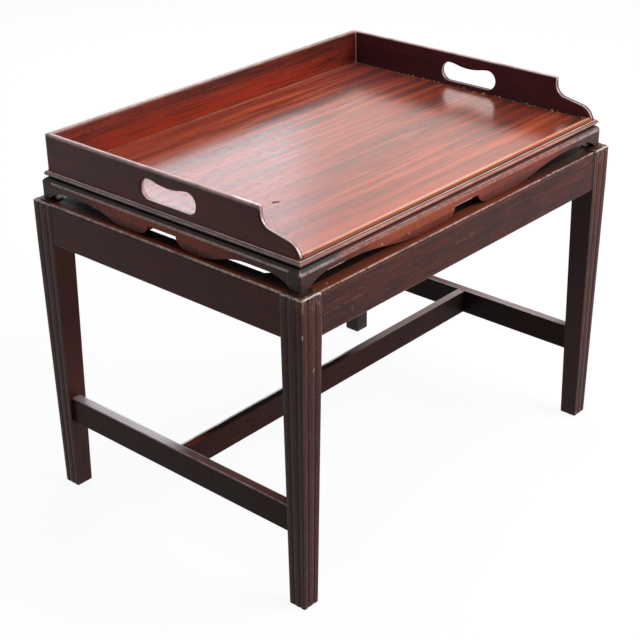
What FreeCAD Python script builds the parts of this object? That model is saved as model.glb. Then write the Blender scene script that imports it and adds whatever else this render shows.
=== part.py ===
import FreeCAD, Part
import math
import os

V = FreeCAD.Vector

# Driving sizes in millimetres. X runs along the long side, Y front to back, Z up from the floor.
# The open long side of the tray faces -Y.

# Stand
stand_length = 751.5
stand_depth = 549.0
stand_height = 506.0
leg_top_width = 39.6
leg_foot_width = 29.4
foot_setback_front = 7.0
foot_setback_end = 1.0
foot_round = 2.0
leg_top_round = 1.5
reed_edge_drop = 0.5
reed_groove_width = 2.4
reed_groove_depth = 1.0
reed_side_share = 0.3
rail_height = 65.7
rail_thickness = 22.0
rail_setback = 1.0
rail_bead_height = 3.4
rail_groove = 0.9
rail_edge_round = 1.2
ledger_height = 20.0
ledger_drop = 0.5
long_ledger_thickness = 16.4
short_ledger_thickness = 11.7
ledger_edge_round = 1.0
corner_block_reach = 58.0
corner_block_height = 18.0
end_stretcher_bottom = 123.8
end_stretcher_height = 43.6
end_stretcher_thickness = 16.0
end_stretcher_setback = 6.5
centre_stretcher_bottom = 124.7
centre_stretcher_height = 41.7
centre_stretcher_thickness = 15.0
centre_stretcher_forward = 4.0
stretcher_edge_round = 1.2

# Joinery shared by the stand
tenon_thickness = 8.0
tenon_shoulder = 8.0
rail_tenon_length = 17.0
stretcher_tenon_length = 15.0
centre_tenon_length = 10.0
joint_clearance = 0.15
mortise_end_gap = 0.5
shoulder_scribe = 6.0

# Fretted frame between the stand and the tray
frame_end_set_in = 10.8
frame_side_set_in = 11.7
frame_height = 34.0
frame_thickness = 22.0
frame_top_round = 12.0
frame_corner_round = 4.0
frame_foot_width = 13.0
foot_curve_run = 48.0
foot_curve_start_share = 0.25
foot_curve_rise_share = 0.6
foot_curve_end_share = 0.55
arch_rise = 17.0
long_ogee_share = 0.813
short_ogee_share = 0.722
ogee_lean_share = 0.42
long_drop_flat = 44.0
short_drop_flat = 14.0
drop_round_run = 27.0
drop_round_share = 0.55
notch_half_width = 29.0
pad_side = 30.0
pad_thickness = 2.0
pad_corner_round = 9.0
pad_overhang = 5.5
dowel_radius = 3.0
dowel_depth = 7.0

# Tray
board_end_set_in = 8.4
board_side_set_in = 7.5
board_thickness = 10.0
wall_thickness = 9.0
back_wall_thickness = 12.0
wall_height = 57.5
wall_edge_round = 3.5
wall_corner_round = 3.0
step_from_front = 71.0
step_height = 10.6
step_corner_round = 2.0
hollow_radius = 20.0
nose_radius = 27.0
nose_drop = 5.5
hole_length = 112.0
hole_height = 32.0
hole_dip = 5.0
hole_shoulder_share = 0.7
hole_dip_share = 0.5
hole_above_board = 8.5
hole_centre_y = -7.0
hole_edge_round = 2.5
lip_width = 10.0
lip_height = 3.0
lip_edge_height = 0.6
lip_end_gap = 0.2
moulding_projection = 4.5
moulding_height = 8.0
moulding_above_underside = 1.0
moulding_fillet_width = 1.8
moulding_quirk = 0.9
moulding_toe = 1.6

# Battens under the tray that keep it on the frame, and the screws
batten_width = 18.0
batten_height = 12.0
batten_clearance = 2.0
screw_head_radius = 3.5
screw_head_height = 2.4
screw_shank_radius = 1.8
screw_clearance = 0.1
wall_screw_length = 20.0
batten_screw_length = 18.5
batten_screw_count = 4
back_screw_count = 4
back_screw_inset = 84.0
end_screw_places = (0.18, 0.68, 0.92)

# Levels and positions that follow from the sizes above
half_length = stand_length / 2
half_depth = stand_depth / 2
frame_length = stand_length - 2 * frame_end_set_in
frame_depth = stand_depth - 2 * frame_side_set_in
board_length = frame_length - 2 * board_end_set_in
board_depth = frame_depth - 2 * board_side_set_in
rail_bottom = stand_height - rail_height
frame_bottom = stand_height + pad_thickness
frame_top = frame_bottom + frame_height
arch_top = frame_bottom + arch_rise
tray_underside = frame_top
board_top = tray_underside + board_thickness
wall_top = board_top + wall_height
board_half_length = board_length / 2
board_half_depth = board_depth / 2
frame_half_length = frame_length / 2
frame_half_depth = frame_depth / 2
far = 2 * stand_length
eighth_turn = math.sqrt(0.5)
same_place = 0.01


def box(x_low, x_high, y_low, y_high, z_low, z_high):
    """Box between two limits on each axis."""
    return Part.makeBox(x_high - x_low, y_high - y_low, z_high - z_low, V(x_low, y_low, z_low))


def mirror_x(shape):
    """The same piece on the other side of the plane X = 0."""
    return shape.mirror(V(0, 0, 0), V(1, 0, 0))


def mirror_y(shape):
    """The same piece on the other side of the plane Y = 0."""
    return shape.mirror(V(0, 0, 0), V(0, 1, 0))


def line(start, end):
    return Part.LineSegment(start, end).toShape()


def arc(start, middle, end):
    return Part.Arc(start, middle, end).toShape()


def curve(*poles):
    """Bezier curve through its first and last pole."""
    bezier = Part.BezierCurve()
    bezier.setPoles(list(poles))
    return bezier.toShape()


def solid_from(edges, direction):
    """Extrude a closed flat outline."""
    return Part.Face(Part.Wire(edges)).extrude(direction)


def rounded_plate(x_low, x_high, y_low, y_high, z_low, z_high, radius):
    """Box with its four upright edges rounded."""
    plate = box(x_low, x_high, y_low, y_high, z_low, z_high)
    upright = [edge for edge in plate.Edges if edge.BoundBox.ZLength > (z_high - z_low) / 2]
    return plate.makeFillet(radius, upright)


def save(name, shape):
    shape.exportStep("parts/" + name + ".step")


# Stand: legs

def taper_at(height):
    """Share of the leg's taper reached at one height: none beside the rails, all of it at the floor."""
    return max(0.0, 1 - height / rail_bottom)


def leg_width_at(height):
    return leg_top_width + (leg_foot_width - leg_top_width) * taper_at(height)


def leg_inner_y(height):
    """Distance of a leg's inner face from the middle of the table, front to back."""
    return half_depth - foot_setback_front * taper_at(height) - leg_width_at(height)


def reeded_side(width, place):
    """Edges of one reeded face, from the outer corner to the inner corner."""
    drop = reed_edge_drop
    half_groove = reed_groove_width / 2
    first = width * reed_side_share
    second = width * (1 - reed_side_share)
    spans = [(drop, first - half_groove), (first + half_groove, second - half_groove),
             (second + half_groove, width)]
    edges = []
    for number, (start, end) in enumerate(spans):
        crest = (start + end) / 2
        edges.append(arc(place(start, drop), place(crest, 0), place(end, drop)))
        if number < len(spans) - 1:
            bottom = place(end + half_groove, drop + reed_groove_depth)
            edges.append(line(place(end, drop), bottom))
            edges.append(line(bottom, place(spans[number + 1][0], drop)))
    return edges


def leg_section(height, inset):
    """Closed outline of the front left leg at one height, drawn in by inset on every side."""
    width = leg_width_at(height) - 2 * inset
    x_outer = -half_length + foot_setback_end * taper_at(height) + inset
    y_outer = -half_depth + foot_setback_front * taper_at(height) + inset
    along_x = reeded_side(width, lambda run, depth: V(x_outer + run, y_outer + depth, height))
    along_y = reeded_side(width, lambda run, depth: V(x_outer + depth, y_outer + run, height))
    inner = V(x_outer + width, y_outer + width, height)
    front_end = V(x_outer + width, y_outer + reed_edge_drop, height)
    side_end = V(x_outer + reed_edge_drop, y_outer + width, height)
    outline = along_x + [line(front_end, inner), line(inner, side_end)]
    return Part.Wire(Part.__sortEdges__(outline + along_y))


def plain_leg():
    """Front left leg before its mortises are cut."""
    sections = [leg_section(0, foot_round), leg_section(foot_round, 0), leg_section(rail_bottom, 0),
                leg_section(stand_height - leg_top_round, 0), leg_section(stand_height, leg_top_round)]
    return Part.makeLoft(sections, True, True)


# Stand: rails and stretchers

def moulded_bar(length, height, thickness, top_round, bead):
    """Bar along X from 0, outer face at Y = 0, bottom at Z = 0, with its top edges eased."""
    ease = top_round * (1 - eighth_turn)
    edges = [line(V(0, thickness, 0), V(0, 0, 0))]
    if bead:
        groove_top = height - rail_bead_height
        groove_bottom = groove_top - rail_groove
        edges.append(line(V(0, 0, 0), V(0, 0, groove_bottom)))
        edges.append(line(V(0, 0, groove_bottom), V(0, rail_groove, groove_bottom)))
        edges.append(line(V(0, rail_groove, groove_bottom), V(0, rail_groove, groove_top)))
        edges.append(line(V(0, rail_groove, groove_top), V(0, 0, groove_top)))
        edges.append(line(V(0, 0, groove_top), V(0, 0, height - top_round)))
    else:
        edges.append(line(V(0, 0, 0), V(0, 0, height - top_round)))
    edges.append(arc(V(0, 0, height - top_round), V(0, ease, height - ease), V(0, top_round, height)))
    edges.append(line(V(0, top_round, height), V(0, thickness - top_round, height)))
    edges.append(arc(V(0, thickness - top_round, height), V(0, thickness - ease, height - ease),
                     V(0, thickness, height - top_round)))
    edges.append(line(V(0, thickness, height - top_round), V(0, thickness, 0)))
    return solid_from(edges, V(length, 0, 0))


def quarter_turn(shape):
    """Turn a bar along X with its face to -Y into a bar along Y with its face to -X."""
    return shape.rotated(V(0, 0, 0), V(0, 0, 1), -90)


def grown(limits, amount, end_axis, end_amount):
    """Box limits with a clearance all round and more of it along one axis."""
    result = []
    for axis in range(3):
        extra = end_amount if axis == end_axis else amount
        result += [limits[2 * axis] - extra, limits[2 * axis + 1] + extra]
    return result


def front_rail_tenon():
    """Limits of the long rail's tenon inside the front left leg."""
    middle = -half_depth + rail_setback + rail_thickness / 2
    shoulder = -half_length + leg_top_width
    return [shoulder - rail_tenon_length, shoulder + tenon_shoulder,
            middle - tenon_thickness / 2, middle + tenon_thickness / 2,
            rail_bottom + tenon_shoulder, stand_height - tenon_shoulder]


def side_rail_tenon():
    """Limits of the short rail's tenon inside the front left leg."""
    middle = -half_length + rail_setback + rail_thickness / 2
    shoulder = -half_depth + leg_top_width
    return [middle - tenon_thickness / 2, middle + tenon_thickness / 2,
            shoulder - rail_tenon_length, shoulder + tenon_shoulder,
            rail_bottom + tenon_shoulder, stand_height - tenon_shoulder]


def end_stretcher_tenon():
    """Limits of the end stretcher's tenon inside the front left leg."""
    middle = -half_length + end_stretcher_setback + end_stretcher_thickness / 2
    height = end_stretcher_bottom + end_stretcher_height / 2
    shoulder = -leg_inner_y(height)
    return [middle - tenon_thickness / 2, middle + tenon_thickness / 2,
            shoulder - stretcher_tenon_length, shoulder + tenon_shoulder,
            end_stretcher_bottom + tenon_shoulder,
            end_stretcher_bottom + end_stretcher_height - tenon_shoulder]


def centre_tenon():
    """Limits of the centre stretcher's tenon inside the left end stretcher."""
    shoulder = -half_length + end_stretcher_setback + end_stretcher_thickness
    middle = -centre_stretcher_forward
    return [shoulder - centre_tenon_length, shoulder + tenon_shoulder,
            middle - tenon_thickness / 2, middle + tenon_thickness / 2,
            centre_stretcher_bottom + tenon_shoulder,
            centre_stretcher_bottom + centre_stretcher_height - tenon_shoulder]


def front_rail(legs):
    half_run = half_length - leg_top_width + shoulder_scribe
    bar = moulded_bar(2 * half_run, rail_height, rail_thickness, rail_edge_round, True)
    bar.translate(V(-half_run, -half_depth + rail_setback, rail_bottom))
    bar = bar.cut(legs[0]).cut(legs[1])
    tenon = box(*front_rail_tenon())
    return bar.fuse([tenon, mirror_x(tenon)]).removeSplitter()


def side_rail(legs):
    half_run = half_depth - leg_top_width + shoulder_scribe
    bar = quarter_turn(moulded_bar(2 * half_run, rail_height, rail_thickness, rail_edge_round, True))
    bar.translate(V(-half_length + rail_setback, half_run, rail_bottom))
    bar = bar.cut(legs[0]).cut(legs[2])
    tenon = box(*side_rail_tenon())
    return bar.fuse([tenon, mirror_y(tenon)]).removeSplitter()


def long_ledger(legs):
    """Strip along the inner face of the front rail, just below its top."""
    half_run = half_length - leg_top_width + shoulder_scribe
    strip = moulded_bar(2 * half_run, ledger_height, long_ledger_thickness, ledger_edge_round, False)
    inner_face = -half_depth + rail_setback + rail_thickness
    strip.translate(V(-half_run, inner_face, stand_height - ledger_drop - ledger_height))
    return strip.cut(legs[0]).cut(legs[1])


def short_ledger(legs):
    """Strip along the inner face of the left rail, just below its top."""
    half_run = half_depth - leg_top_width + shoulder_scribe
    strip = quarter_turn(moulded_bar(2 * half_run, ledger_height, short_ledger_thickness,
                                     ledger_edge_round, False))
    inner_face = -half_length + rail_setback + rail_thickness
    strip.translate(V(inner_face, half_run, stand_height - ledger_drop - ledger_height))
    return strip.cut(legs[0]).cut(legs[2])


def corner_block(legs):
    """Three-cornered block between the strips, behind the front left leg."""
    x_place = -half_length + rail_setback + rail_thickness + short_ledger_thickness
    y_place = -half_depth + rail_setback + rail_thickness + long_ledger_thickness
    low = stand_height - ledger_drop - corner_block_height
    corner = V(x_place, y_place, low)
    along = V(x_place + corner_block_reach, y_place, low)
    back = V(x_place, y_place + corner_block_reach, low)
    outline = [line(corner, along), line(along, back), line(back, corner)]
    return solid_from(outline, V(0, 0, corner_block_height)).cut(legs[0])


def end_stretcher(legs):
    half_run = leg_inner_y(end_stretcher_bottom) + shoulder_scribe
    bar = quarter_turn(moulded_bar(2 * half_run, end_stretcher_height, end_stretcher_thickness,
                                   stretcher_edge_round, False))
    bar.translate(V(-half_length + end_stretcher_setback, half_run, end_stretcher_bottom))
    bar = bar.cut(legs[0]).cut(legs[2])
    tenon = box(*end_stretcher_tenon())
    bar = bar.fuse([tenon, mirror_y(tenon)]).removeSplitter()
    mortise = grown(centre_tenon(), joint_clearance, 0, mortise_end_gap)
    return bar.cut(box(*mortise))


def centre_stretcher():
    half_run = half_length - end_stretcher_setback - end_stretcher_thickness
    bar = moulded_bar(2 * half_run, centre_stretcher_height, centre_stretcher_thickness,
                      stretcher_edge_round, False)
    front_face = -centre_stretcher_forward - centre_stretcher_thickness / 2
    bar.translate(V(-half_run, front_face, centre_stretcher_bottom))
    tenon = box(*centre_tenon())
    return bar.fuse([tenon, mirror_x(tenon)]).removeSplitter()


# Fretted frame

def frame_block():
    """The frame's outside shape: top edges rounded over and mitred, upright corners eased."""
    def rounded_top(half_width, place):
        low = frame_bottom
        shoulder = frame_top - frame_top_round
        inner = half_width - frame_top_round
        swing = frame_top_round * eighth_turn
        return [line(place(-half_width, low), place(half_width, low)),
                line(place(half_width, low), place(half_width, shoulder)),
                arc(place(half_width, shoulder), place(inner + swing, shoulder + swing),
                    place(inner, frame_top)),
                line(place(inner, frame_top), place(-inner, frame_top)),
                arc(place(-inner, frame_top), place(-inner - swing, shoulder + swing),
                    place(-half_width, shoulder)),
                line(place(-half_width, shoulder), place(-half_width, low))]

    along_x = solid_from(rounded_top(frame_half_depth, lambda a, b: V(-frame_half_length, a, b)),
                         V(frame_length, 0, 0))
    along_y = solid_from(rounded_top(frame_half_length, lambda a, b: V(a, -frame_half_depth, b)),
                         V(0, frame_depth, 0))
    plan = rounded_plate(-frame_half_length, frame_half_length, -frame_half_depth, frame_half_depth,
                         frame_bottom, frame_top, frame_corner_round)
    return along_x.common(along_y).common(plan)


def arch_outline(half_width, ogee_share, drop_flat, place):
    """Outline of one arch under a rail, between its foot and its drop."""
    low = frame_bottom
    foot = -half_width + frame_foot_width
    crown_start = foot + foot_curve_run
    drop = -notch_half_width - drop_round_run - drop_flat
    ogee_run = ogee_share * (drop - crown_start)
    crown_end = drop - ogee_run
    lean = ogee_lean_share * ogee_run
    foot_pole = place(foot + foot_curve_start_share * foot_curve_run, low + foot_curve_rise_share * arch_rise)
    crown_pole = place(foot + foot_curve_end_share * foot_curve_run, arch_top)
    return [curve(place(foot, low), foot_pole, crown_pole, place(crown_start, arch_top)),
            line(place(crown_start, arch_top), place(crown_end, arch_top)),
            curve(place(crown_end, arch_top), place(crown_end + lean, arch_top),
                  place(drop - lean, low), place(drop, low)),
            line(place(drop, low), place(foot, low))]


def notch_outline(place):
    """Outline of the notch between a rail's two drops."""
    low = frame_bottom
    side = notch_half_width
    tip = notch_half_width + drop_round_run
    bulge = drop_round_share * drop_round_run
    rise = drop_round_share * arch_rise
    return [curve(place(-tip, low), place(-tip + bulge, low), place(-side, arch_top - rise),
                  place(-side, arch_top)),
            line(place(-side, arch_top), place(side, arch_top)),
            curve(place(side, arch_top), place(side, arch_top - rise), place(tip - bulge, low),
                  place(tip, low)),
            line(place(tip, low), place(-tip, low))]


def frame_cuts():
    """The open shapes under the front rail and under the left rail."""
    front = frame_half_depth
    left = frame_half_length
    deep = frame_thickness

    def on_front(run, height):
        return V(run, -front, height)

    def on_left(run, height):
        return V(-left, run, height)

    front_arch = solid_from(arch_outline(left, long_ogee_share, long_drop_flat, on_front), V(0, deep, 0))
    front_notch = solid_from(notch_outline(on_front), V(0, deep, 0))
    left_arch = solid_from(arch_outline(front, short_ogee_share, short_drop_flat, on_left), V(deep, 0, 0))
    left_notch = solid_from(notch_outline(on_left), V(deep, 0, 0))
    front_cuts = [front_arch, mirror_x(front_arch), front_notch]
    left_cuts = [left_arch, mirror_y(left_arch), left_notch]
    return front_cuts, left_cuts


def frame_rails():
    """Front rail, which runs through to the corners, and left rail, which stands between."""
    block = frame_block()
    front_cuts, left_cuts = frame_cuts()
    joint_y = -frame_half_depth + frame_thickness
    inner_x = -frame_half_length + frame_thickness
    front = block.common(box(-far, far, -far, joint_y, 0, far))
    for cutter in front_cuts + left_cuts + [mirror_x(cutter) for cutter in left_cuts]:
        front = front.cut(cutter)
    left = block.common(box(-far, inner_x, joint_y, -joint_y, 0, far))
    for cutter in left_cuts:
        left = left.cut(cutter)
    return front, left


def corner_point():
    """Centre of the frame's front left foot."""
    return (-frame_half_length + frame_foot_width / 2, -frame_half_depth + frame_foot_width / 2)


def dowel(radius):
    """Upright dowel through the front left pad, into the foot above and the leg below."""
    x_place, y_place = corner_point()
    length = 2 * dowel_depth + pad_thickness
    return Part.makeCylinder(radius, length, V(x_place, y_place, stand_height - dowel_depth))


def foot_pad():
    x_low = -frame_half_length - pad_overhang
    y_low = -frame_half_depth - pad_overhang
    return rounded_plate(x_low, x_low + pad_side, y_low, y_low + pad_side, stand_height, frame_bottom,
                         pad_corner_round)


# Tray

def end_wall_outline(place):
    """Side view of an end wall: level top, step, hollow, nose, level bottom."""
    front = -board_half_depth
    back = board_half_depth
    step = front + step_from_front
    hollow_y = step - hollow_radius
    hollow_z = wall_top - step_height
    nose_y = front + nose_radius
    nose_z = board_top - nose_drop
    across_y = hollow_y - nose_y
    across_z = hollow_z - nose_z
    distance = math.hypot(across_y, across_z)
    lean = math.atan2(across_z, across_y) + math.acos((nose_radius + hollow_radius) / distance)

    def on_nose(angle):
        return place(nose_y + nose_radius * math.cos(angle), nose_z + nose_radius * math.sin(angle))

    def on_hollow(angle):
        return place(hollow_y + hollow_radius * math.cos(angle), hollow_z + hollow_radius * math.sin(angle))

    toe_angle = math.pi - math.asin(nose_drop / nose_radius)
    hollow_start = lean - math.pi
    corner = step_corner_round
    ease = corner * (1 - eighth_turn)
    return [arc(on_nose(toe_angle), on_nose((toe_angle + lean) / 2), on_nose(lean)),
            line(on_nose(lean), on_hollow(hollow_start)),
            arc(on_hollow(hollow_start), on_hollow(hollow_start / 2), on_hollow(0)),
            line(on_hollow(0), place(step, wall_top - corner)),
            arc(place(step, wall_top - corner), place(step + ease, wall_top - ease),
                place(step + corner, wall_top)),
            line(place(step + corner, wall_top), place(back, wall_top)),
            line(place(back, wall_top), place(back, board_top)),
            line(place(back, board_top), on_nose(toe_angle))]


def hand_hole_outline(place):
    """Hand hole: flat below, round ends, top edge dipping in the middle."""
    low = board_top + hole_above_board
    high = low + hole_height
    radius = hole_height / 2
    straight = hole_length / 2 - radius
    middle = hole_centre_y
    dip = high - hole_dip
    shoulder = hole_shoulder_share * straight
    spread = hole_dip_share * straight
    return [line(place(middle - straight, low), place(middle + straight, low)),
            arc(place(middle + straight, low), place(middle + straight + radius, low + radius),
                place(middle + straight, high)),
            curve(place(middle + straight, high), place(middle + shoulder, high),
                  place(middle + spread, dip), place(middle, dip)),
            curve(place(middle, dip), place(middle - spread, dip),
                  place(middle - shoulder, high), place(middle - straight, high)),
            arc(place(middle - straight, high), place(middle - straight - radius, low + radius),
                place(middle - straight, low))]


def tray_plan():
    """Outside of the walls in plan, upright corners rounded."""
    return rounded_plate(-board_half_length, board_half_length, -board_half_depth - wall_corner_round,
                         board_half_depth, board_top, wall_top, wall_corner_round)


def mitre_wedge(sign):
    """Upright block behind the mitre plane through the back corner on one side."""
    corner = V(sign * board_half_length, board_half_depth, board_top)
    run = far * wall_thickness / back_wall_thickness
    inward = V(sign * (board_half_length - run), board_half_depth - far, board_top)
    behind = V(sign * (board_half_length - run), board_half_depth, board_top)
    outline = [line(corner, inward), line(inward, behind), line(behind, corner)]
    return solid_from(outline, V(0, 0, wall_height))


def end_wall():
    """Left end wall, mitred to the back wall."""
    outer = -board_half_length
    wall = solid_from(end_wall_outline(lambda a, b: V(outer, a, b)), V(wall_thickness, 0, 0))
    rims = []
    for edge in wall.Edges:
        limits = edge.BoundBox
        flat = limits.XLength < same_place
        at_bottom = limits.ZMax < board_top + same_place
        at_back = limits.YMin > board_half_depth - same_place
        if flat and not at_bottom and not at_back:
            rims.append(edge)
    wall = wall.makeFillet(wall_edge_round, rims)
    hole = solid_from(hand_hole_outline(lambda a, b: V(outer, a, b)), V(wall_thickness, 0, 0))
    wall = wall.cut(hole)
    low = board_top + hole_above_board - same_place
    high = board_top + hole_above_board + hole_height + same_place
    half = hole_length / 2 + same_place
    rims = []
    for edge in wall.Edges:
        limits = edge.BoundBox
        inside_z = limits.ZMin > low and limits.ZMax < high
        inside_y = limits.YMin > hole_centre_y - half and limits.YMax < hole_centre_y + half
        if limits.XLength < same_place and inside_z and inside_y:
            rims.append(edge)
    wall = wall.makeFillet(hole_edge_round, rims)
    return wall.common(tray_plan()).cut(mitre_wedge(-1))


def back_wall():
    """Back wall, mitred at both ends."""
    inner = board_half_depth - back_wall_thickness
    wall = box(-board_half_length, board_half_length, inner, board_half_depth, board_top, wall_top)
    rims = []
    for edge in wall.Edges:
        limits = edge.BoundBox
        if limits.ZMin > wall_top - same_place and limits.XLength > back_wall_thickness:
            rims.append(edge)
    wall = wall.makeFillet(wall_edge_round, rims).common(tray_plan())
    return wall.common(mitre_wedge(-1)).common(mitre_wedge(1))


def front_lip():
    """Low rounded strip along the board's open edge, between the end walls."""
    half_run = board_half_length - wall_thickness - lip_end_gap
    front = -board_half_depth
    back = front + lip_width
    low = board_top
    edge_z = board_top + lip_edge_height
    edges = [line(V(-half_run, front, low), V(-half_run, front, edge_z)),
             arc(V(-half_run, front, edge_z), V(-half_run, (front + back) / 2, low + lip_height),
                 V(-half_run, back, edge_z)),
             line(V(-half_run, back, edge_z), V(-half_run, back, low)),
             line(V(-half_run, back, low), V(-half_run, front, low))]
    return solid_from(edges, V(2 * half_run, 0, 0))


def moulding_profile(place):
    """Base moulding in section: a narrow fillet, a quirk, then a full round."""
    low = tray_underside + moulding_above_underside
    high = low + moulding_height
    reach = moulding_projection
    round_top = high - moulding_quirk
    round_middle = (round_top + low) / 2
    return [line(place(0, low), place(0, high)),
            line(place(0, high), place(moulding_fillet_width, high)),
            line(place(moulding_fillet_width, high), place(moulding_fillet_width, round_top)),
            arc(place(moulding_fillet_width, round_top), place(reach, round_middle),
                place(moulding_toe, low)),
            line(place(moulding_toe, low), place(0, low))]


def long_moulding():
    """Moulding along the front edge, mitred at both ends."""
    reach = moulding_projection
    half_run = board_half_length + reach
    front = -board_half_depth
    bar = solid_from(moulding_profile(lambda a, b: V(-half_run, front - a, b)), V(2 * half_run, 0, 0))
    corners = [V(-half_run, front - reach, 0), V(half_run, front - reach, 0),
               V(board_half_length, front, 0), V(-board_half_length, front, 0)]
    return bar.common(plan_prism(corners))


def short_moulding():
    """Moulding along the left edge, mitred at both ends."""
    reach = moulding_projection
    half_run = board_half_depth + reach
    left = -board_half_length
    bar = solid_from(moulding_profile(lambda a, b: V(left - a, -half_run, b)), V(0, 2 * half_run, 0))
    corners = [V(left - reach, -half_run, 0), V(left - reach, half_run, 0),
               V(left, board_half_depth, 0), V(left, -board_half_depth, 0)]
    return bar.common(plan_prism(corners))


def plan_prism(corners):
    """Tall block over a plan outline."""
    edges = [line(corners[number], corners[(number + 1) % len(corners)]) for number in range(len(corners))]
    return solid_from(edges, V(0, 0, wall_top))


def batten():
    """Left batten under the board, just inside the fretted frame."""
    outer = -frame_half_length + frame_thickness + batten_clearance
    half_run = frame_half_depth - frame_thickness - batten_clearance
    return box(outer, outer + batten_width, -half_run, half_run,
               tray_underside - batten_height, tray_underside)


# Screws

def screw(x_place, y_place, head_z, length, extra):
    """Countersunk screw pointing up, or its hole when extra is more than nothing."""
    base = V(x_place, y_place, head_z)
    head = Part.makeCone(screw_head_radius + extra, screw_shank_radius + extra, screw_head_height, base)
    shank = Part.makeCylinder(screw_shank_radius + extra, length + extra, base)
    return head.fuse(shank).removeSplitter()


def wall_screw_places():
    """Plan positions of the screws up through the board into the walls."""
    places = []
    end_x = board_half_length - wall_thickness / 2
    for share in end_screw_places:
        y_place = -board_half_depth + share * board_depth
        places += [(-end_x, y_place), (end_x, y_place)]
    back_y = board_half_depth - back_wall_thickness / 2
    first = -board_half_length + back_screw_inset
    spacing = -2 * first / (back_screw_count - 1)
    for number in range(back_screw_count):
        places.append((first + number * spacing, back_y))
    return places


def batten_screw_places():
    """Plan positions of the screws up through the battens into the board."""
    places = []
    middle = -frame_half_length + frame_thickness + batten_clearance + batten_width / 2
    run = frame_depth - 2 * frame_thickness - 2 * batten_clearance
    for number in range(batten_screw_count):
        y_place = run * ((number + 0.5) / batten_screw_count - 0.5)
        places += [(middle, y_place), (-middle, y_place)]
    return places


def wall_screws(extra):
    return [screw(x, y, tray_underside, wall_screw_length, extra) for x, y in wall_screw_places()]


def batten_screws(extra):
    low = tray_underside - batten_height
    return [screw(x, y, low, batten_screw_length, extra) for x, y in batten_screw_places()]


def cut_all(shape, cutters):
    """Cut only with the tools that reach the shape."""
    for cutter in cutters:
        if shape.BoundBox.intersect(cutter.BoundBox):
            shape = shape.cut(cutter)
    return shape


# Build the stand

os.makedirs("parts", exist_ok=True)

raw_leg = plain_leg()
raw_legs = [raw_leg, mirror_x(raw_leg), mirror_y(raw_leg), mirror_x(mirror_y(raw_leg))]
mortises = [box(*grown(front_rail_tenon(), joint_clearance, 0, mortise_end_gap)),
            box(*grown(side_rail_tenon(), joint_clearance, 1, mortise_end_gap)),
            box(*grown(end_stretcher_tenon(), joint_clearance, 1, mortise_end_gap)),
            dowel(dowel_radius + joint_clearance)]
leg = cut_all(raw_leg, mortises)
save("leg_front_left", leg)
save("leg_front_right", mirror_x(leg))
save("leg_back_left", mirror_y(leg))
save("leg_back_right", mirror_x(mirror_y(leg)))

long_rail = front_rail(raw_legs)
save("rail_front", long_rail)
save("rail_back", mirror_y(long_rail))
short_rail = side_rail(raw_legs)
save("rail_left", short_rail)
save("rail_right", mirror_x(short_rail))

long_strip = long_ledger(raw_legs)
save("ledger_front", long_strip)
save("ledger_back", mirror_y(long_strip))
short_strip = short_ledger(raw_legs)
save("ledger_left", short_strip)
save("ledger_right", mirror_x(short_strip))

block = corner_block(raw_legs)
save("corner_block_front_left", block)
save("corner_block_front_right", mirror_x(block))
save("corner_block_back_left", mirror_y(block))
save("corner_block_back_right", mirror_x(mirror_y(block)))

end_bar = end_stretcher(raw_legs)
save("end_stretcher_left", end_bar)
save("end_stretcher_right", mirror_x(end_bar))
save("centre_stretcher", centre_stretcher())

# Build the fretted frame

dowel_hole = dowel(dowel_radius + joint_clearance)
dowel_holes = [dowel_hole, mirror_x(dowel_hole)]
frame_front, frame_left = frame_rails()
frame_front = cut_all(frame_front, dowel_holes)
save("frame_front", frame_front)
save("frame_back", mirror_y(frame_front))
save("frame_left", frame_left)
save("frame_right", mirror_x(frame_left))

pad = cut_all(foot_pad(), [dowel_hole])
save("pad_front_left", pad)
save("pad_front_right", mirror_x(pad))
save("pad_back_left", mirror_y(pad))
save("pad_back_right", mirror_x(mirror_y(pad)))

pin = dowel(dowel_radius)
save("frame_dowels", Part.makeCompound([pin, mirror_x(pin), mirror_y(pin), mirror_x(mirror_y(pin))]))

# Build the tray

wall_holes = wall_screws(screw_clearance)
batten_holes = batten_screws(screw_clearance)

board = box(-board_half_length, board_half_length, -board_half_depth, board_half_depth,
            tray_underside, board_top)
save("tray_board", cut_all(board, wall_holes + batten_holes))

left_wall = end_wall()
save("end_wall_left", cut_all(left_wall, wall_holes))
save("end_wall_right", cut_all(mirror_x(left_wall), wall_holes))
save("back_wall", cut_all(back_wall(), wall_holes))
save("front_lip", front_lip())

long_bar = long_moulding()
save("moulding_front", long_bar)
save("moulding_back", mirror_y(long_bar))
short_bar = short_moulding()
save("moulding_left", short_bar)
save("moulding_right", mirror_x(short_bar))

left_batten = batten()
save("batten_left", cut_all(left_batten, batten_holes))
save("batten_right", cut_all(mirror_x(left_batten), batten_holes))

save("wall_screws", Part.makeCompound(wall_screws(0)))
save("batten_screws", Part.makeCompound(batten_screws(0)))
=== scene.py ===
import math
import random

import bpy
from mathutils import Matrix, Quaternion, Vector


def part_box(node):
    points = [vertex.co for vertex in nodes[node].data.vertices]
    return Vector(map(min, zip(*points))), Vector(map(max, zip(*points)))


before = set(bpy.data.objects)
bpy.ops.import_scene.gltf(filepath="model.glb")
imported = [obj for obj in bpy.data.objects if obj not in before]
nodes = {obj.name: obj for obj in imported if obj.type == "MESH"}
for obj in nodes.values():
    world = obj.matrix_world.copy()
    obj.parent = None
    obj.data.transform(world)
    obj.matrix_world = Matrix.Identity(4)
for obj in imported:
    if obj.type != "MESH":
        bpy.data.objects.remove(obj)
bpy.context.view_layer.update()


def low(node, axis):
    """Lowest place of a node on an axis, in metres."""
    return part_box(node)[0]["XYZ".index(axis)]


def high(node, axis):
    """Highest place of a node on an axis, in metres."""
    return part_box(node)[1]["XYZ".index(axis)]


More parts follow.
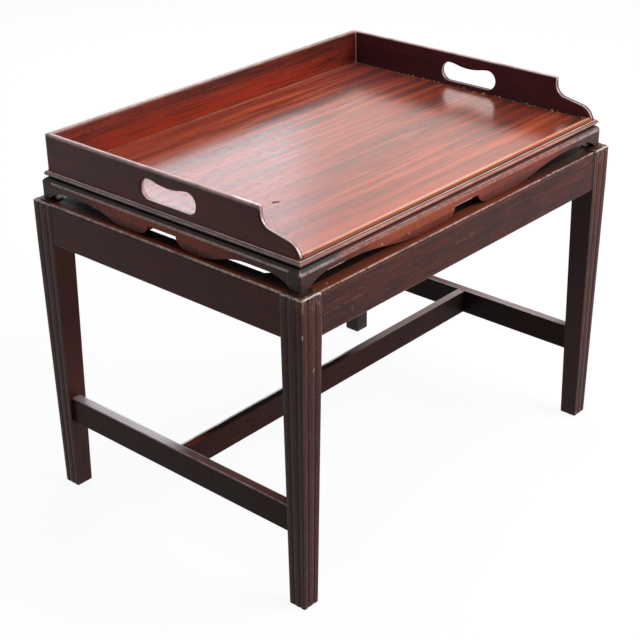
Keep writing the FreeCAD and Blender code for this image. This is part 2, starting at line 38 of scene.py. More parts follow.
# Levels and faces of the table that the finishes refer to, in metres
LEG_IN_X = low("leg_front_right", "X")
LEG_IN_Y = low("leg_back_left", "Y")
LEG_OUT_X = high("leg_front_right", "X")
LEG_OUT_Y = high("leg_back_left", "Y")
RAIL_TOP = high("rail_front", "Z")
RAIL_BOTTOM = low("rail_front", "Z")
RAIL_FACE_X = high("rail_right", "X")
RAIL_FACE_Y = high("rail_back", "Y")
BESIDE_RAIL = RAIL_TOP - 0.066
BELOW_RAIL = RAIL_TOP - 0.146
FRAME_TOP = high("frame_front", "Z")
FRAME_END = high("frame_front", "X")
FRAME_SIDE = high("frame_back", "Y")
FRAME_JOINT = low("frame_back", "Y")
BOARD_TOP = high("tray_board", "Z")
BOARD_FRONT = low("tray_board", "Y")
BOARD_END = high("tray_board", "X")
LIP_BACK = high("front_lip", "Y")
LIP_MIDDLE = (low("front_lip", "Y") + LIP_BACK) / 2
MOULDING_TOP = high("moulding_front", "Z")
WALL_TOP = high("back_wall", "Z")
WALL_IN_X = low("end_wall_right", "X")
WALL_IN_Y = low("back_wall", "Y")
HOLE_BOTTOM = BOARD_TOP + 0.005
HOLE_TOP = BOARD_TOP + 0.044
HOLE_FRONT = -0.066
HOLE_BACK = 0.052
END_STRETCHER_TOP = high("end_stretcher_left", "Z")
END_STRETCHER_OUT = high("end_stretcher_right", "X")
CENTRE_STRETCHER_TOP = high("centre_stretcher", "Z")
CENTRE_STRETCHER_BACK = high("centre_stretcher", "Y")

# Fine scratches on the long rails, and noise per metre on cut ends and on steel
SCRATCH_SEED = 11
SCRATCHES = 10
END_GRAIN = (900.0, 500.0, 900.0)
STEEL_GRAIN = (900.0, 900.0, 900.0)


def tone(red, green, blue):
    """A colour with no transparency."""
    return (red, green, blue, 1.0)


# Dark stains of the stand
BLACK_STAIN = tone(0.012, 0.009, 0.008)
LEG_DEEP = tone(0.030, 0.012, 0.011)
PLUM_DEEP = tone(0.040, 0.013, 0.011)
CORNER_BROWN = tone(0.036, 0.022, 0.019)
LEG_PLUM = tone(0.080, 0.022, 0.018)
PLUM = tone(0.100, 0.024, 0.018)
PLUM_BRIGHT = tone(0.145, 0.035, 0.025)
STRETCHER_BROWN = tone(0.17, 0.045, 0.028)
RUSSET = tone(0.21, 0.044, 0.028)
LEDGE_ORANGE = tone(0.22, 0.048, 0.020)

# Reds of the frame, walls and mouldings
WALL_SHADE = tone(0.069, 0.027, 0.039)
RED_DEEP = tone(0.085, 0.016, 0.013)
RED = tone(0.24, 0.033, 0.022)
WALL_RED = tone(0.29, 0.036, 0.022)
RED_BRIGHT = tone(0.36, 0.055, 0.024)
FLAME_RED = tone(0.44, 0.037, 0.006)
FRAME_GLOW = tone(0.60, 0.110, 0.045)

# Board and lip
BOARD_DEEP = tone(0.120, 0.034, 0.025)
BOARD_RED = tone(0.40, 0.058, 0.028)
BOARD_ORANGE = tone(0.66, 0.115, 0.042)
BOARD_GLOW = tone(0.82, 0.17, 0.068)
BOARD_WINE = tone(0.26, 0.062, 0.078)
LIP_DARK = tone(0.13, 0.026, 0.012)
LIP_SHADE = tone(0.27, 0.048, 0.016)
LIP_BROWN = tone(0.46, 0.095, 0.028)
LIP_RED = tone(0.95, 0.37, 0.18)
LIP_ORANGE = tone(0.98, 0.385, 0.205)
LIP_GOLD = tone(1.0, 0.475, 0.28)
LIP_PALE = tone(1.0, 0.59, 0.33)

# Rubbed edges, chips and scratches; the rim, round, torus and fillet tones are also used for painted
# highlights
WORN_PINK = tone(0.40, 0.22, 0.18)
WORN_TAN = tone(0.42, 0.26, 0.13)
WORN_CREAM = tone(0.78, 0.60, 0.46)
RIM_ROSE = tone(0.55, 0.28, 0.23)
RIM_PINK = tone(0.70, 0.45, 0.39)
RIM_PALE = tone(0.82, 0.53, 0.51)
ROUND_ROSE = tone(0.58, 0.27, 0.21)
ROUND_GREY = tone(0.62, 0.48, 0.48)
ROUND_PALE = tone(0.95, 0.80, 0.80)
TORUS_PINK = tone(0.90, 0.42, 0.33)
TORUS_GREY = tone(0.80, 0.66, 0.65)
FILLET_CREAM = tone(1.0, 0.84, 0.71)
FILLET_GREY = tone(1.0, 0.87, 0.85)
ARRIS_PALE = tone(1.0, 0.82, 0.78)

# Dust, dirt in the joints, and the tones of painted reflections
GREY_HAZE = tone(0.26, 0.185, 0.175)
JOINT_PALE = tone(0.42, 0.31, 0.22)
REFLECTION_GREY = tone(0.54, 0.44, 0.42)
DUST_AND_REFLECTION_LILAC = tone(0.88, 0.76, 0.81)

# Bare wood, steel, and the tint of the board's reflections
BARE_DARK = tone(0.25, 0.13, 0.06)
BARE = tone(0.38, 0.22, 0.11)
BARE_PALE = tone(0.48, 0.30, 0.16)
STEEL_DARK = tone(0.30, 0.28, 0.25)
STEEL_PALE = tone(0.50, 0.47, 0.42)
POLISH_TINT = tone(1.0, 0.90, 0.88)


class Finish:
    """A material being made: short ways to add the nodes it needs, and the colour laid so far."""

    def __init__(self, name):
        self.material = bpy.data.materials.new(name)
        self.material.use_nodes = True
        self.tree = self.material.node_tree
        self.shader = self.tree.nodes["Principled BSDF"]
        self.place = self.add("ShaderNodeTexCoord").outputs["Object"]
        self.x, self.y, self.z = self.split(self.place)
        self.colour = None

    def add(self, kind, **settings):
        """A new node with some of its settings."""
        node = self.tree.nodes.new(kind)
        for key, value in settings.items():
            setattr(node, key, value)
        return node

    def join(self, source, target):
        """Link a socket, or set a plain value, on an input."""
        if isinstance(source, bpy.types.NodeSocket):
            self.tree.links.new(source, target)
        else:
            target.default_value = source

    def split(self, vector):
        """X, Y and Z of a vector."""
        node = self.add("ShaderNodeSeparateXYZ")
        self.join(vector, node.inputs[0])
        return node.outputs[0], node.outputs[1], node.outputs[2]

    def reckon(self, operation, first, second=0.0, third=0.0):
        """One step of arithmetic."""
        node = self.add("ShaderNodeMath", operation=operation)
        for number, source in enumerate((first, second, third)):
            self.join(source, node.inputs[number])
        return node.outputs[0]

    def times(self, first, *others):
        for other in others:
            first = self.reckon("MULTIPLY", first, other)
        return first

    def most(self, first, *others):
        for other in others:
            first = self.reckon("MAXIMUM", first, other)
        return first

    def without(self, share):
        """What a share leaves over: 1 where it is 0, and 0 where it is 1."""
        return self.reckon("SUBTRACT", 1.0, share)

    def size(self, value):
        """A value without its sign."""
        return self.reckon("ABSOLUTE", value)

    def vector(self, operation, first, second=None, scale=None):
        """One step of vector arithmetic."""
        node = self.add("ShaderNodeVectorMath", operation=operation)
        self.join(first, node.inputs[0])
        if second is not None:
            self.join(second, node.inputs[1])
        if scale is not None:
            self.join(scale, node.inputs["Scale"])
        return node.outputs["Value" if operation in ("DISTANCE", "DOT_PRODUCT") else "Vector"]

    def step(self, value, zero, one):
        """0 at the first place, 1 at the second, smooth between; the first may be the larger."""
        node = self.add("ShaderNodeMapRange", interpolation_type="SMOOTHSTEP")
        for name, source in (("Value", value), ("From Min", zero), ("From Max", one)):
            self.join(source, node.inputs[name])
        return node.outputs[0]

    def band(self, value, start, end, soft):
        """1 between start and end, fading over soft outside them."""
        return self.times(self.step(value, start - soft, start), self.step(value, end + soft, end))

    def spread(self, value, least, most):
        """A value from 0 to 1 taken to least to most; least may be the larger."""
        node = self.add("ShaderNodeMapRange")
        for name, source in (("Value", value), ("To Min", least), ("To Max", most)):
            self.join(source, node.inputs[name])
        return node.outputs[0]

    def scaled(self, size, shift=(0.0, 0.0, 0.0), place=None):
        """Object coordinates times a size on each axis."""
        node = self.add("ShaderNodeMapping")
        self.join(place or self.place, node.inputs["Vector"])
        node.inputs["Scale"].default_value = size
        node.inputs["Location"].default_value = shift
        return node.outputs[0]

    def noise_node(self, vector, detail, rough, bend=0.0):
        node = self.add("ShaderNodeTexNoise")
        self.join(vector, node.inputs["Vector"])
        node.inputs["Scale"].default_value = 1.0
        node.inputs["Detail"].default_value = detail
        node.inputs["Roughness"].default_value = rough
        node.inputs["Distortion"].default_value = bend
        return node

    def noise(self, vector, detail=3.0, rough=0.55, bend=0.0):
        """Noise from 0 to 1."""
        return self.noise_node(vector, detail, rough, bend).outputs[0]

    def strokes(self, grain, length, width, shift=(0.0, 0.0, 0.0), detail=3.0, rough=0.55, bend=0.0,
                place=None):
        """Noise drawn out along the grain, in strokes of about this length and width in metres."""
        size = [1 / width] * 3
        size["XYZ".index(grain)] = 1 / length
        return self.noise(self.scaled(size, shift, place), detail, rough, bend)

    def cloud(self, size, shift=0.0, detail=3.0, rough=0.6):
        """Even noise with lumps of about this size in metres."""
        return self.noise(self.scaled([1 / size] * 3, [shift] * 3), detail, rough)

    def wavy(self, size, amount):
        """Object coordinates pushed about a little, for grain that isn't quite straight."""
        node = self.noise_node(self.scaled([1 / size] * 3), detail=1.0, rough=0.5)
        push = self.vector("SCALE", node.outputs["Color"], scale=amount)
        return self.vector("ADD", self.place, push)

    def mix(self, share, first, second):
        """The first colour with a share of the second over it."""
        node = self.add("ShaderNodeMix", data_type="RGBA")
        self.join(share, node.inputs[0])
        self.join(first, node.inputs[6])
        self.join(second, node.inputs[7])
        return node.outputs[2]

    def lay(self, colour, *shares):
        """Lay a colour over what is there, by its shares times each other."""
        self.colour = self.mix(self.times(*shares), self.colour, colour)

    def tones(self, value, *stops):
        """Colour ramp from (place, colour) stops."""
        node = self.add("ShaderNodeValToRGB")
        ramp = node.color_ramp
        while len(ramp.elements) < len(stops):
            ramp.elements.new(0.5)
        for element, (place, colour) in zip(ramp.elements, stops):
            element.position = place
            element.color = colour
        self.join(value, node.inputs[0])
        return node.outputs[0]

    def facing(self):
        """X, Y and Z of the surface's direction."""
        return self.split(self.add("ShaderNodeNewGeometry").outputs["Normal"])

    def faces_low(self, direction):
        """1 on faces turned to the low end of an axis; the direction is one of those from facing."""
        return self.step(direction, -0.5, -0.9)

    def faces_either(self, direction):
        """1 on faces turned to either end of an axis."""
        return self.step(self.size(direction), 0.5, 0.9)

    def edges(self, radius):
        """1 on sharp edges, 0 on flat faces."""
        bevel = self.add("ShaderNodeBevel", samples=6)
        bevel.inputs["Radius"].default_value = radius
        flat = self.add("ShaderNodeNewGeometry").outputs["Normal"]
        bent = self.without(self.vector("DOT_PRODUCT", bevel.outputs[0], flat))
        return self.step(bent, 0.02, 0.22)

    def hollows(self, reach):
        """1 deep in grooves and inner corners, 0 in the open."""
        open_sky = self.add("ShaderNodeAmbientOcclusion", samples=6, only_local=True)
        open_sky.inputs["Distance"].default_value = reach
        return self.step(open_sky.outputs["AO"], 0.92, 0.55)

    def spot(self, centre, radius):
        """1 at a point, 0 from radius outwards."""
        return self.step(self.vector("DISTANCE", self.place, centre), radius, radius * 0.4)

    def scratch(self, start, end, width):
        """1 on a line between two points, 0 from width outwards."""
        run = Vector(end) - Vector(start)
        from_start = self.vector("SUBTRACT", self.place, start)
        share = self.times(self.vector("DOT_PRODUCT", from_start, run), 1 / run.length_squared)
        share = self.reckon("MINIMUM", self.reckon("MAXIMUM", share, 0.0), 1.0)
        nearest = self.vector("SCALE", tuple(run), scale=share)
        return self.step(self.vector("DISTANCE", from_start, nearest), width, width * 0.35)

    def specks(self, spacing, radius, share, shift=0.0):
        """Small dots scattered over the surface, in only a share of the cells."""
        node = self.add("ShaderNodeTexVoronoi")
        self.join(self.scaled([1 / spacing] * 3, [shift] * 3), node.inputs["Vector"])
        node.inputs["Scale"].default_value = 1.0
        dot = self.step(node.outputs["Distance"], radius / spacing, 0.4 * radius / spacing)
        kept = self.step(self.split(node.outputs["Color"])[0], share, share - 0.02)
        return self.times(dot, kept)

    def bump(self, height, depth, strength=1.0):
        """Fine relief, at most about depth metres."""
        node = self.add("ShaderNodeBump")
        node.inputs["Distance"].default_value = depth
        node.inputs["Strength"].default_value = strength
        self.join(height, node.inputs["Height"])
        self.join(node.outputs[0], self.shader.inputs["Normal"])

    def surface(self, rough, specular):
        """The finished material, with the colour laid so far."""
        self.join(self.colour, self.shader.inputs["Base Color"])
        self.join(rough, self.shader.inputs["Roughness"])
        self.shader.inputs["Specular IOR Level"].default_value = specular
        return self.material


class Wood(Finish):
    """Polished mahogany with its grain along one axis."""

    def __init__(self, name, grain, deep, middle, bright, blotch=0.35, figure=0.5):
        """Blotch is the share of the dark patches, figure that of the broad ribbons in the grain."""
        super().__init__(name)
        place = self.wavy(0.09, 0.005)
        ribbon = self.strokes(grain, 0.35, 0.014, detail=2.0, rough=0.5, bend=0.3, place=place)
        self.streak = self.strokes(grain, 0.12, 0.0035, (3.1, 1.7, 5.3), rough=0.65, place=place)
        blend = self.reckon("MULTIPLY_ADD", self.streak, 1.0 - figure, self.times(ribbon, figure))
        self.colour = self.tones(blend, (0.40, deep), (0.5, middle), (0.60, bright))
        fleck = self.strokes(grain, 0.014, 0.0017, (2.0, 6.0, 3.0), rough=0.7)
        self.lay(bright, self.step(fleck, 0.54, 0.70), 0.40)
        self.lay(deep, self.step(fleck, 0.46, 0.32), 0.60)
        pores = self.strokes(grain, 0.010, 0.0006, (7.0, 2.0, 4.0), detail=2.0, rough=0.6)
        self.pits = self.step(pores, 0.42, 0.34)
        self.lay(deep, self.pits, 0.45)
        speckle = self.strokes(grain, 0.007, 0.0024, (1.0, 8.0, 5.0), detail=4.0, rough=0.75)
        self.lay(WORN_PINK, self.step(speckle, 0.54, 0.66), 0.14)
        self.lay(deep, self.step(speckle, 0.47, 0.36), 0.70)
        patches = self.step(self.cloud(0.05, 1.3), 0.42, 0.66)
        self.lay(deep, patches, blotch)

    def patchy(self, size, least=0.25, shift=4.0):
        """Stronger in some places than others, from least to 1."""
        return self.spread(self.step(self.cloud(size, shift, rough=0.7), 0.36, 0.60), least, 1.0)

    def wear_edges(self, radius, colour, share, clump=0.02):
        """Pale worn arrises, stronger in some places than others."""
        self.lay(colour, self.edges(radius), self.patchy(clump), share)

    def wax(self, share, gloss=1.7):
        """A clear waxed gloss over a share of the surface."""
        self.join(share, self.shader.inputs["Coat Weight"])
        self.shader.inputs["Coat Roughness"].default_value = 0.2
        self.shader.inputs["Coat IOR"].default_value = gloss

    def polish(self, rough, specular, dull=0.0):
        """The finished wood; dull is the least roughness, place by place."""
        height = self.reckon("MULTIPLY_ADD", self.pits, -1.0, self.streak)
        self.bump(height, 0.00006, 0.6)
        gloss = self.spread(self.streak, rough - 0.06, rough + 0.08)
        return self.surface(self.most(gloss, dull), specular)


def wear_leg(wood):
    """Worn arrises, painted shade in the hollows between the reeds, and streaks and nicks beside the rails.
    """
    wood.wear_edges(0.003, WORN_PINK, 0.45)
    # Painted shade: near black in the hollows between the reeds, where ambient occlusion finds them.
    wood.lay(BLACK_STAIN, wood.hollows(0.004), 0.8)
    flecks = wood.times(wood.edges(0.004), wood.specks(0.010, 0.0026, 0.30, 5.0))
    wood.lay(WORN_CREAM, flecks, 0.75)
    streaks = wood.step(wood.strokes("Z", 0.05, 0.0026, (5.0, 2.0, 1.0), rough=0.65), 0.52, 0.62)
    wood.lay(WORN_PINK, streaks, wood.step(wood.z, BESIDE_RAIL, RAIL_TOP - 0.006), 0.30)
    nicks = wood.step(wood.strokes("Z", 0.012, 0.0022, (9.0, 4.0, 2.0), rough=0.7), 0.55, 0.61)
    wood.lay(WORN_CREAM, nicks, wood.step(wood.z, RAIL_TOP - 0.035, RAIL_TOP - 0.004), 0.6)


def shade_leg(wood, lengthwise, across):
    """Painted shade and light by place: black at the far foot and dark on the left faces, a lighter brown on
    some of the front ones.
    """
    left_face = wood.faces_low(lengthwise)
    front_face = wood.faces_low(across)
    at_back = wood.step(wood.y, 0.0, 0.1)
    # Painted shade: near black low on the inner faces of the far back right leg.
    far_foot = wood.times(wood.step(wood.x, 0.0, 0.1), at_back, wood.step(wood.z, 0.24, 0.08))
    wood.lay(BLACK_STAIN, far_foot, wood.most(left_face, front_face), 0.93)
    # Painted shade: the left faces darker, more so below the rails.
    lower = wood.step(wood.z, BESIDE_RAIL, BELOW_RAIL)
    wood.lay(LEG_DEEP, left_face, wood.spread(lower, 0.28, 0.45))
    # Painted light: a lighter brown high on the front faces of the front legs, and on the front face of the
    # back left leg above its foot.
    upper = wood.step(wood.z, BELOW_RAIL, BESIDE_RAIL)
    warm = wood.times(front_face, upper, wood.step(wood.y, 0.0, -0.1))
    painted_light_inner = wood.times(front_face, at_back, wood.step(wood.x, 0.1, 0.0), wood.step(wood.z, 0.10, 0.20))
    wood.lay(STRETCHER_BROWN, wood.most(wood.times(warm, 0.30), wood.times(painted_light_inner, 0.85)))


def line_leg(wood, lengthwise, across, upward):
    """Pale lines where the rails meet the leg, and a pale rubbed crown."""
    beside_long = wood.times(wood.step(wood.size(wood.x), LEG_IN_X + 0.0020, LEG_IN_X + 0.0010),
                             wood.faces_either(across))
    beside_short = wood.times(wood.step(wood.size(wood.y), LEG_IN_Y + 0.0020, LEG_IN_Y + 0.0010),
                              wood.faces_either(lengthwise))
    joint = wood.times(wood.most(beside_long, beside_short),
                       wood.step(wood.z, RAIL_BOTTOM - 0.003, RAIL_BOTTOM))
    wood.lay(WORN_PINK, joint, wood.patchy(0.02), 0.6)
    crown = wood.times(wood.step(wood.z, RAIL_TOP - 0.0030, RAIL_TOP - 0.0016), wood.step(upward, 0.97, 0.88))
    wood.lay(FILLET_GREY, crown, wood.patchy(0.012, 0.40), 0.95)


def leg_point(run, inward, drop):
    """A place on the front left leg, measured from its outer corner and from its top."""
    return (-LEG_OUT_X + run, -LEG_OUT_Y + inward, RAIL_TOP - drop)


def mark_leg(wood):
    """Old knocks on the front legs, specks, and scuffed feet."""
    rubbed = wood.scratch(leg_point(0.01075, 0.0008, 0.120), leg_point(0.01105, 0.0008, 0.101), 0.0035)
    wood.lay(LEDGE_ORANGE, rubbed, 0.5)
    bruise = wood.scratch(leg_point(0.00225, 0.0, 0.003), leg_point(0.00225, 0.0, 0.014), 0.0032)
    wood.lay(WORN_TAN, bruise, wood.step(wood.cloud(0.003), 0.35, 0.6), 0.9)
    knock = wood.scratch(leg_point(0.00025, 0.0005, 0.0515), leg_point(0.00025, 0.0005, 0.0555), 0.0022)
    scrape = wood.scratch(leg_point(0.02105, 0.0008, 0.1132), leg_point(0.02425, 0.0008, 0.1092), 0.0010)
    tick = wood.spot((-LEG_IN_X - 0.0006, -LEG_OUT_Y, RAIL_TOP - 0.0030), 0.0034)
    speck = wood.spot((LEG_IN_X + 0.00115, -LEG_OUT_Y + 0.0247, RAIL_TOP - 0.1208), 0.0014)
    wood.lay(WORN_CREAM, wood.most(knock, scrape, tick, speck), 0.9)
    wood.lay(WORN_PINK, wood.specks(0.012, 0.0011, 0.07), 0.6)
    scuffs = wood.step(wood.cloud(0.004, 2.0, rough=0.7), 0.50, 0.62)
    wood.lay(WORN_PINK, wood.step(wood.z, 0.016, 0.004), scuffs, 0.55)


def leg_finish():
    """Reeded legs: dark plum, rubbed along the reeds and arrises, with painted shade and light on some faces
    and a few old knocks.
    """
    wood = Wood("leg_mahogany", "Z", LEG_DEEP, LEG_PLUM, PLUM_BRIGHT, blotch=0.25, figure=0.25)
    lengthwise, across, upward = wood.facing()
    wear_leg(wood)
    shade_leg(wood, lengthwise, across)
    line_leg(wood, lengthwise, across, upward)
    mark_leg(wood)
    return wood.polish(rough=0.42, specular=0.17)


def wear_rail(wood, out, face, reach, least, bead):
    """Worn bead along a rail's top, a pale line below it, chips, and a worn lower edge."""
    bead_in = face - reach
    arris = wood.times(wood.step(out, bead_in, bead_in + 0.0010),
                       wood.step(wood.z, RAIL_TOP - 0.0026, RAIL_TOP - 0.0016))
    wood.lay(bead, arris, wood.patchy(0.006, least), wood.patchy(0.05, 0.6, 8.0))
    below = wood.times(wood.band(wood.z, RAIL_TOP - 0.0058, RAIL_TOP - 0.0044, 0.0005),
                       wood.step(out, face - 0.001, face))
    wood.lay(WORN_PINK, below, wood.patchy(0.03, 0.3, 6.0), 0.38)
    chips = wood.times(arris, wood.specks(0.009, 0.0026, 0.20))
    wood.lay(WORN_CREAM, chips, 0.9)
    foot = wood.times(wood.step(wood.z, RAIL_BOTTOM + 0.0016, RAIL_BOTTOM + 0.0006),
                      wood.patchy(0.03, 0.3, 9.0))
    wood.lay(WORN_PINK, foot, wood.spread(wood.step(wood.x, 0.0, -0.2), 0.35, 0.75))
    wood.lay(WORN_PINK, wood.specks(0.012, 0.0013, 0.12, 3.0), 0.5)


def rail_finish(name, grain, shade, reach, least, bead):
    """Aprons: plum face, worn pale bead along the top, orange-brown ledge, near black as painted shadow on
    its inner part on the short rails.

    Shade is the share of darker plum laid low on the face, reach the bead's width, least what is left of it
    where it is weakest, and bead its tone.
    """
    wood = Wood(name, grain, PLUM_DEEP, PLUM, PLUM_BRIGHT, blotch=0.25, figure=0.2)
    out = wood.size(wood.y if grain == "X" else wood.x)
    face = RAIL_FACE_Y if grain == "X" else RAIL_FACE_X
    upward = wood.facing()[2]
    mottle = wood.strokes(grain, 0.050, 0.0075, (3.0, 7.0, 2.0), detail=5.0, rough=0.75)
    wood.lay(RUSSET, wood.step(mottle, 0.50, 0.64), 0.42)
    wood.lay(LEG_DEEP, wood.step(mottle, 0.49, 0.38), 0.70)
    ledge = wood.times(wood.step(wood.z, RAIL_TOP - 0.001, RAIL_TOP - 0.0002), wood.step(upward, 0.6, 0.95))
    near_left = wood.spread(wood.step(wood.x, 0.05, 0.24), 0.8, 0.0)
    wood.lay(LEDGE_ORANGE, ledge, near_left)
    wood.lay(PLUM_DEEP, ledge, wood.step(wood.x, 0.10, 0.26), 0.8)
    # Painted shadow: the inner part of the short rails' ledge near black, under the frame.
    if grain == "Y":
        wood.lay(BLACK_STAIN, ledge, wood.step(out, face - 0.009, face - 0.014), 0.9)
    wood.lay(PLUM_DEEP, wood.step(wood.z, RAIL_TOP - 0.030, RAIL_TOP - 0.054), shade)
    wear_rail(wood, out, face, reach, least, bead)
    return wood


def rail_point(x, inward, drop):
    """A place on the front rail, measured from its face and from its top."""
    return (x, -RAIL_FACE_Y + inward, RAIL_TOP - drop)


def rail_scratch(wood, chance):
    """A fine short scratch somewhere on the front rail's face."""
    x = chance.uniform(-0.32, 0.30)
    z = chance.uniform(RAIL_BOTTOM + 0.008, RAIL_TOP - 0.014)
    run = chance.uniform(0.006, 0.028)
    rise = chance.uniform(-0.006, 0.006)
    return wood.scratch((x, -RAIL_FACE_Y, z), (x + run, -RAIL_FACE_Y, z + rise), 0.0008)


def long_rail_finish():
    """Front and back rails: scratched, chipped along the ledge, and painted shadow at the right end."""
    wood = rail_finish("long_rail_mahogany", "X", shade=0.32, reach=0.0026, least=0.25, bead=RIM_PINK)
    long_scratch = wood.scratch(rail_point(-0.3316, 0.0, 0.0365), rail_point(-0.2418, 0.0, 0.0348), 0.0010)
    hook = wood.scratch(rail_point(-0.2736, 0.0, 0.0440), rail_point(-0.2715, 0.0, 0.0554), 0.0008)
    broken = wood.step(wood.cloud(0.012, 6.0), 0.40, 0.55)
    chance = random.Random(SCRATCH_SEED)
    fine = wood.most(*[rail_scratch(wood, chance) for _ in range(SCRATCHES)])
    scratches = wood.most(long_scratch, hook, wood.times(fine, 0.7))
    wood.lay(WORN_PINK, scratches, broken, 0.55)
    chipped = wood.times(wood.scratch(rail_point(0.189, 0.002, 0.0), rail_point(0.234, 0.002, 0.0), 0.0018),
                         wood.step(wood.cloud(0.006, 2.0), 0.46, 0.60))
    fleck = wood.spot(rail_point(-0.3127, 0.0102, 0.0), 0.0022)
    wood.lay(WORN_CREAM, wood.most(chipped, fleck), 0.7)
    # Painted shadow: near black at the right end of the long rails, in the gap by the leg.
    gap_shadow = wood.step(wood.x, LEG_IN_X - 0.0066, LEG_IN_X - 0.0050)
    wood.lay(BLACK_STAIN, gap_shadow, 0.95)
    return wood.polish(rough=0.42, specular=0.14)


def short_rail_finish():
    """Left and right rails: a wider and paler bead, with two pale flecks on the left one."""
    wood = rail_finish("short_rail_mahogany", "Y", shade=0.1, reach=0.0042, least=0.35, bead=ARRIS_PALE)
    on_bead = -RAIL_FACE_X + 0.00225
    flecks = wood.most(*[wood.spot((on_bead, y, RAIL_TOP), 0.0024) for y in (-0.1104, -0.1817)])
    wood.lay(WORN_CREAM, flecks, 0.8)
    return wood.polish(rough=0.42, specular=0.14)


def stretcher_top(wood, level):
    """1 on a stretcher's upper face."""
    upward = wood.facing()[2]
    return wood.times(wood.step(wood.z, level - 0.003, level - 0.0015), wood.step(upward, 0.3, 0.6))


def end_stretcher_finish():
    """End stretchers: plum, with a pale arris and painted shade on the right one's inner face; the tops carry
    a streaky pale lilac painted reflection over half their length.
    """
    wood = Wood("end_stretcher_mahogany", "Y", LEG_DEEP, LEG_DEEP, PLUM)
    left_face = wood.faces_low(wood.facing()[0])
    top = stretcher_top(wood, END_STRETCHER_TOP)
    right_one = wood.step(wood.x, -0.1, 0.1)
    shade = wood.spread(wood.step(wood.y, -0.15, 0.0), 0.35, 0.85)
    # Painted shade: dark on the right stretcher's inner face, more so towards the back.
    wood.lay(BLACK_STAIN, left_face, right_one, shade)
    wood.lay(STRETCHER_BROWN, top, 0.5)
    # Painted reflection: streaky pale lilac on the tops, over the back of the left one and the front of the
    # right one.
    left_reflection = wood.times(wood.without(right_one), wood.step(wood.y, -0.03, 0.05))
    right_reflection = wood.times(right_one, wood.step(wood.y, 0.10, -0.12), 0.6)
    rubbed = wood.spread(wood.step(wood.strokes("Y", 0.06, 0.004), 0.35, 0.6), 0.75, 1.0)
    wood.lay(DUST_AND_REFLECTION_LILAC, top, wood.reckon("ADD", right_reflection, left_reflection), rubbed)
    wood.wax(wood.times(top, left_reflection, 0.4))
    near_edge = wood.times(wood.step(wood.x, -END_STRETCHER_OUT + 0.0026, -END_STRETCHER_OUT + 0.0016),
                           wood.step(wood.z, END_STRETCHER_TOP - 0.0026, END_STRETCHER_TOP - 0.0016))
    wood.lay(RIM_PINK, near_edge, wood.patchy(0.02, 0.45), 0.9)
    # Painted reflection: pale lilac along the inner edge of the tops.
    inner_edge = wood.step(wood.size(wood.x), END_STRETCHER_OUT - 0.0138, END_STRETCHER_OUT - 0.0148)
    wood.lay(DUST_AND_REFLECTION_LILAC, top, inner_edge, wood.patchy(0.03, 0.5), 0.8)
    wood.wear_edges(0.003, WORN_PINK, 0.25)
    return wood.polish(rough=0.42, specular=0.07)


def centre_stretcher_finish():
    """Centre stretcher: plum, with painted shade on the front at its right end; its top has a dark painted
    reflection on the left with a pale painted highlight along the far edge, and a grey painted reflection on
    the right.
    """
    wood = Wood("centre_stretcher_mahogany", "X", PLUM_DEEP, PLUM_DEEP, PLUM)
    front_face = wood.faces_low(wood.facing()[1])
    top = stretcher_top(wood, CENTRE_STRETCHER_TOP)
    # Painted shade: dark on the front face at the right end.
    wood.lay(BLACK_STAIN, wood.step(wood.x, 0.25, 0.32), front_face, 0.75)
    # Painted reflection: the left half of the top dark.
    dark = wood.times(top, wood.step(wood.x, 0.08, 0.00))
    wood.lay(BLACK_STAIN, dark, 0.9)
    wood.lay(STRETCHER_BROWN, top, wood.step(wood.x, -0.28, -0.34), 0.9)
    # Painted highlight: a pale line with gloss along the far edge of the dark top.
    line = wood.band(wood.y, CENTRE_STRETCHER_BACK - 0.0038, CENTRE_STRETCHER_BACK - 0.0014, 0.0005)
    line = wood.times(dark, line, wood.patchy(0.05, 0.5))
    wood.lay(DUST_AND_REFLECTION_LILAC, line)
    wood.wax(wood.times(line, 0.5))
    # Painted reflection: grey over the right part of the top.
    wood.lay(REFLECTION_GREY, top, wood.step(wood.x, 0.02, 0.14), 0.85)
    wood.wear_edges(0.003, WORN_PINK, 0.25)
    dull = wood.times(dark, wood.reckon("SUBTRACT", 0.95, line))
    return wood.polish(rough=0.45, specular=0.06, dull=dull)


def ledger_finish(name, grain):
    """Strips and blocks inside the rails, stained nearly black, partly as painted shade."""
    # Painted shade, partly stain: nearly black.
    return Wood(name, grain, BLACK_STAIN, BLACK_STAIN, PLUM_DEEP).polish(rough=0.5, specular=0.06)


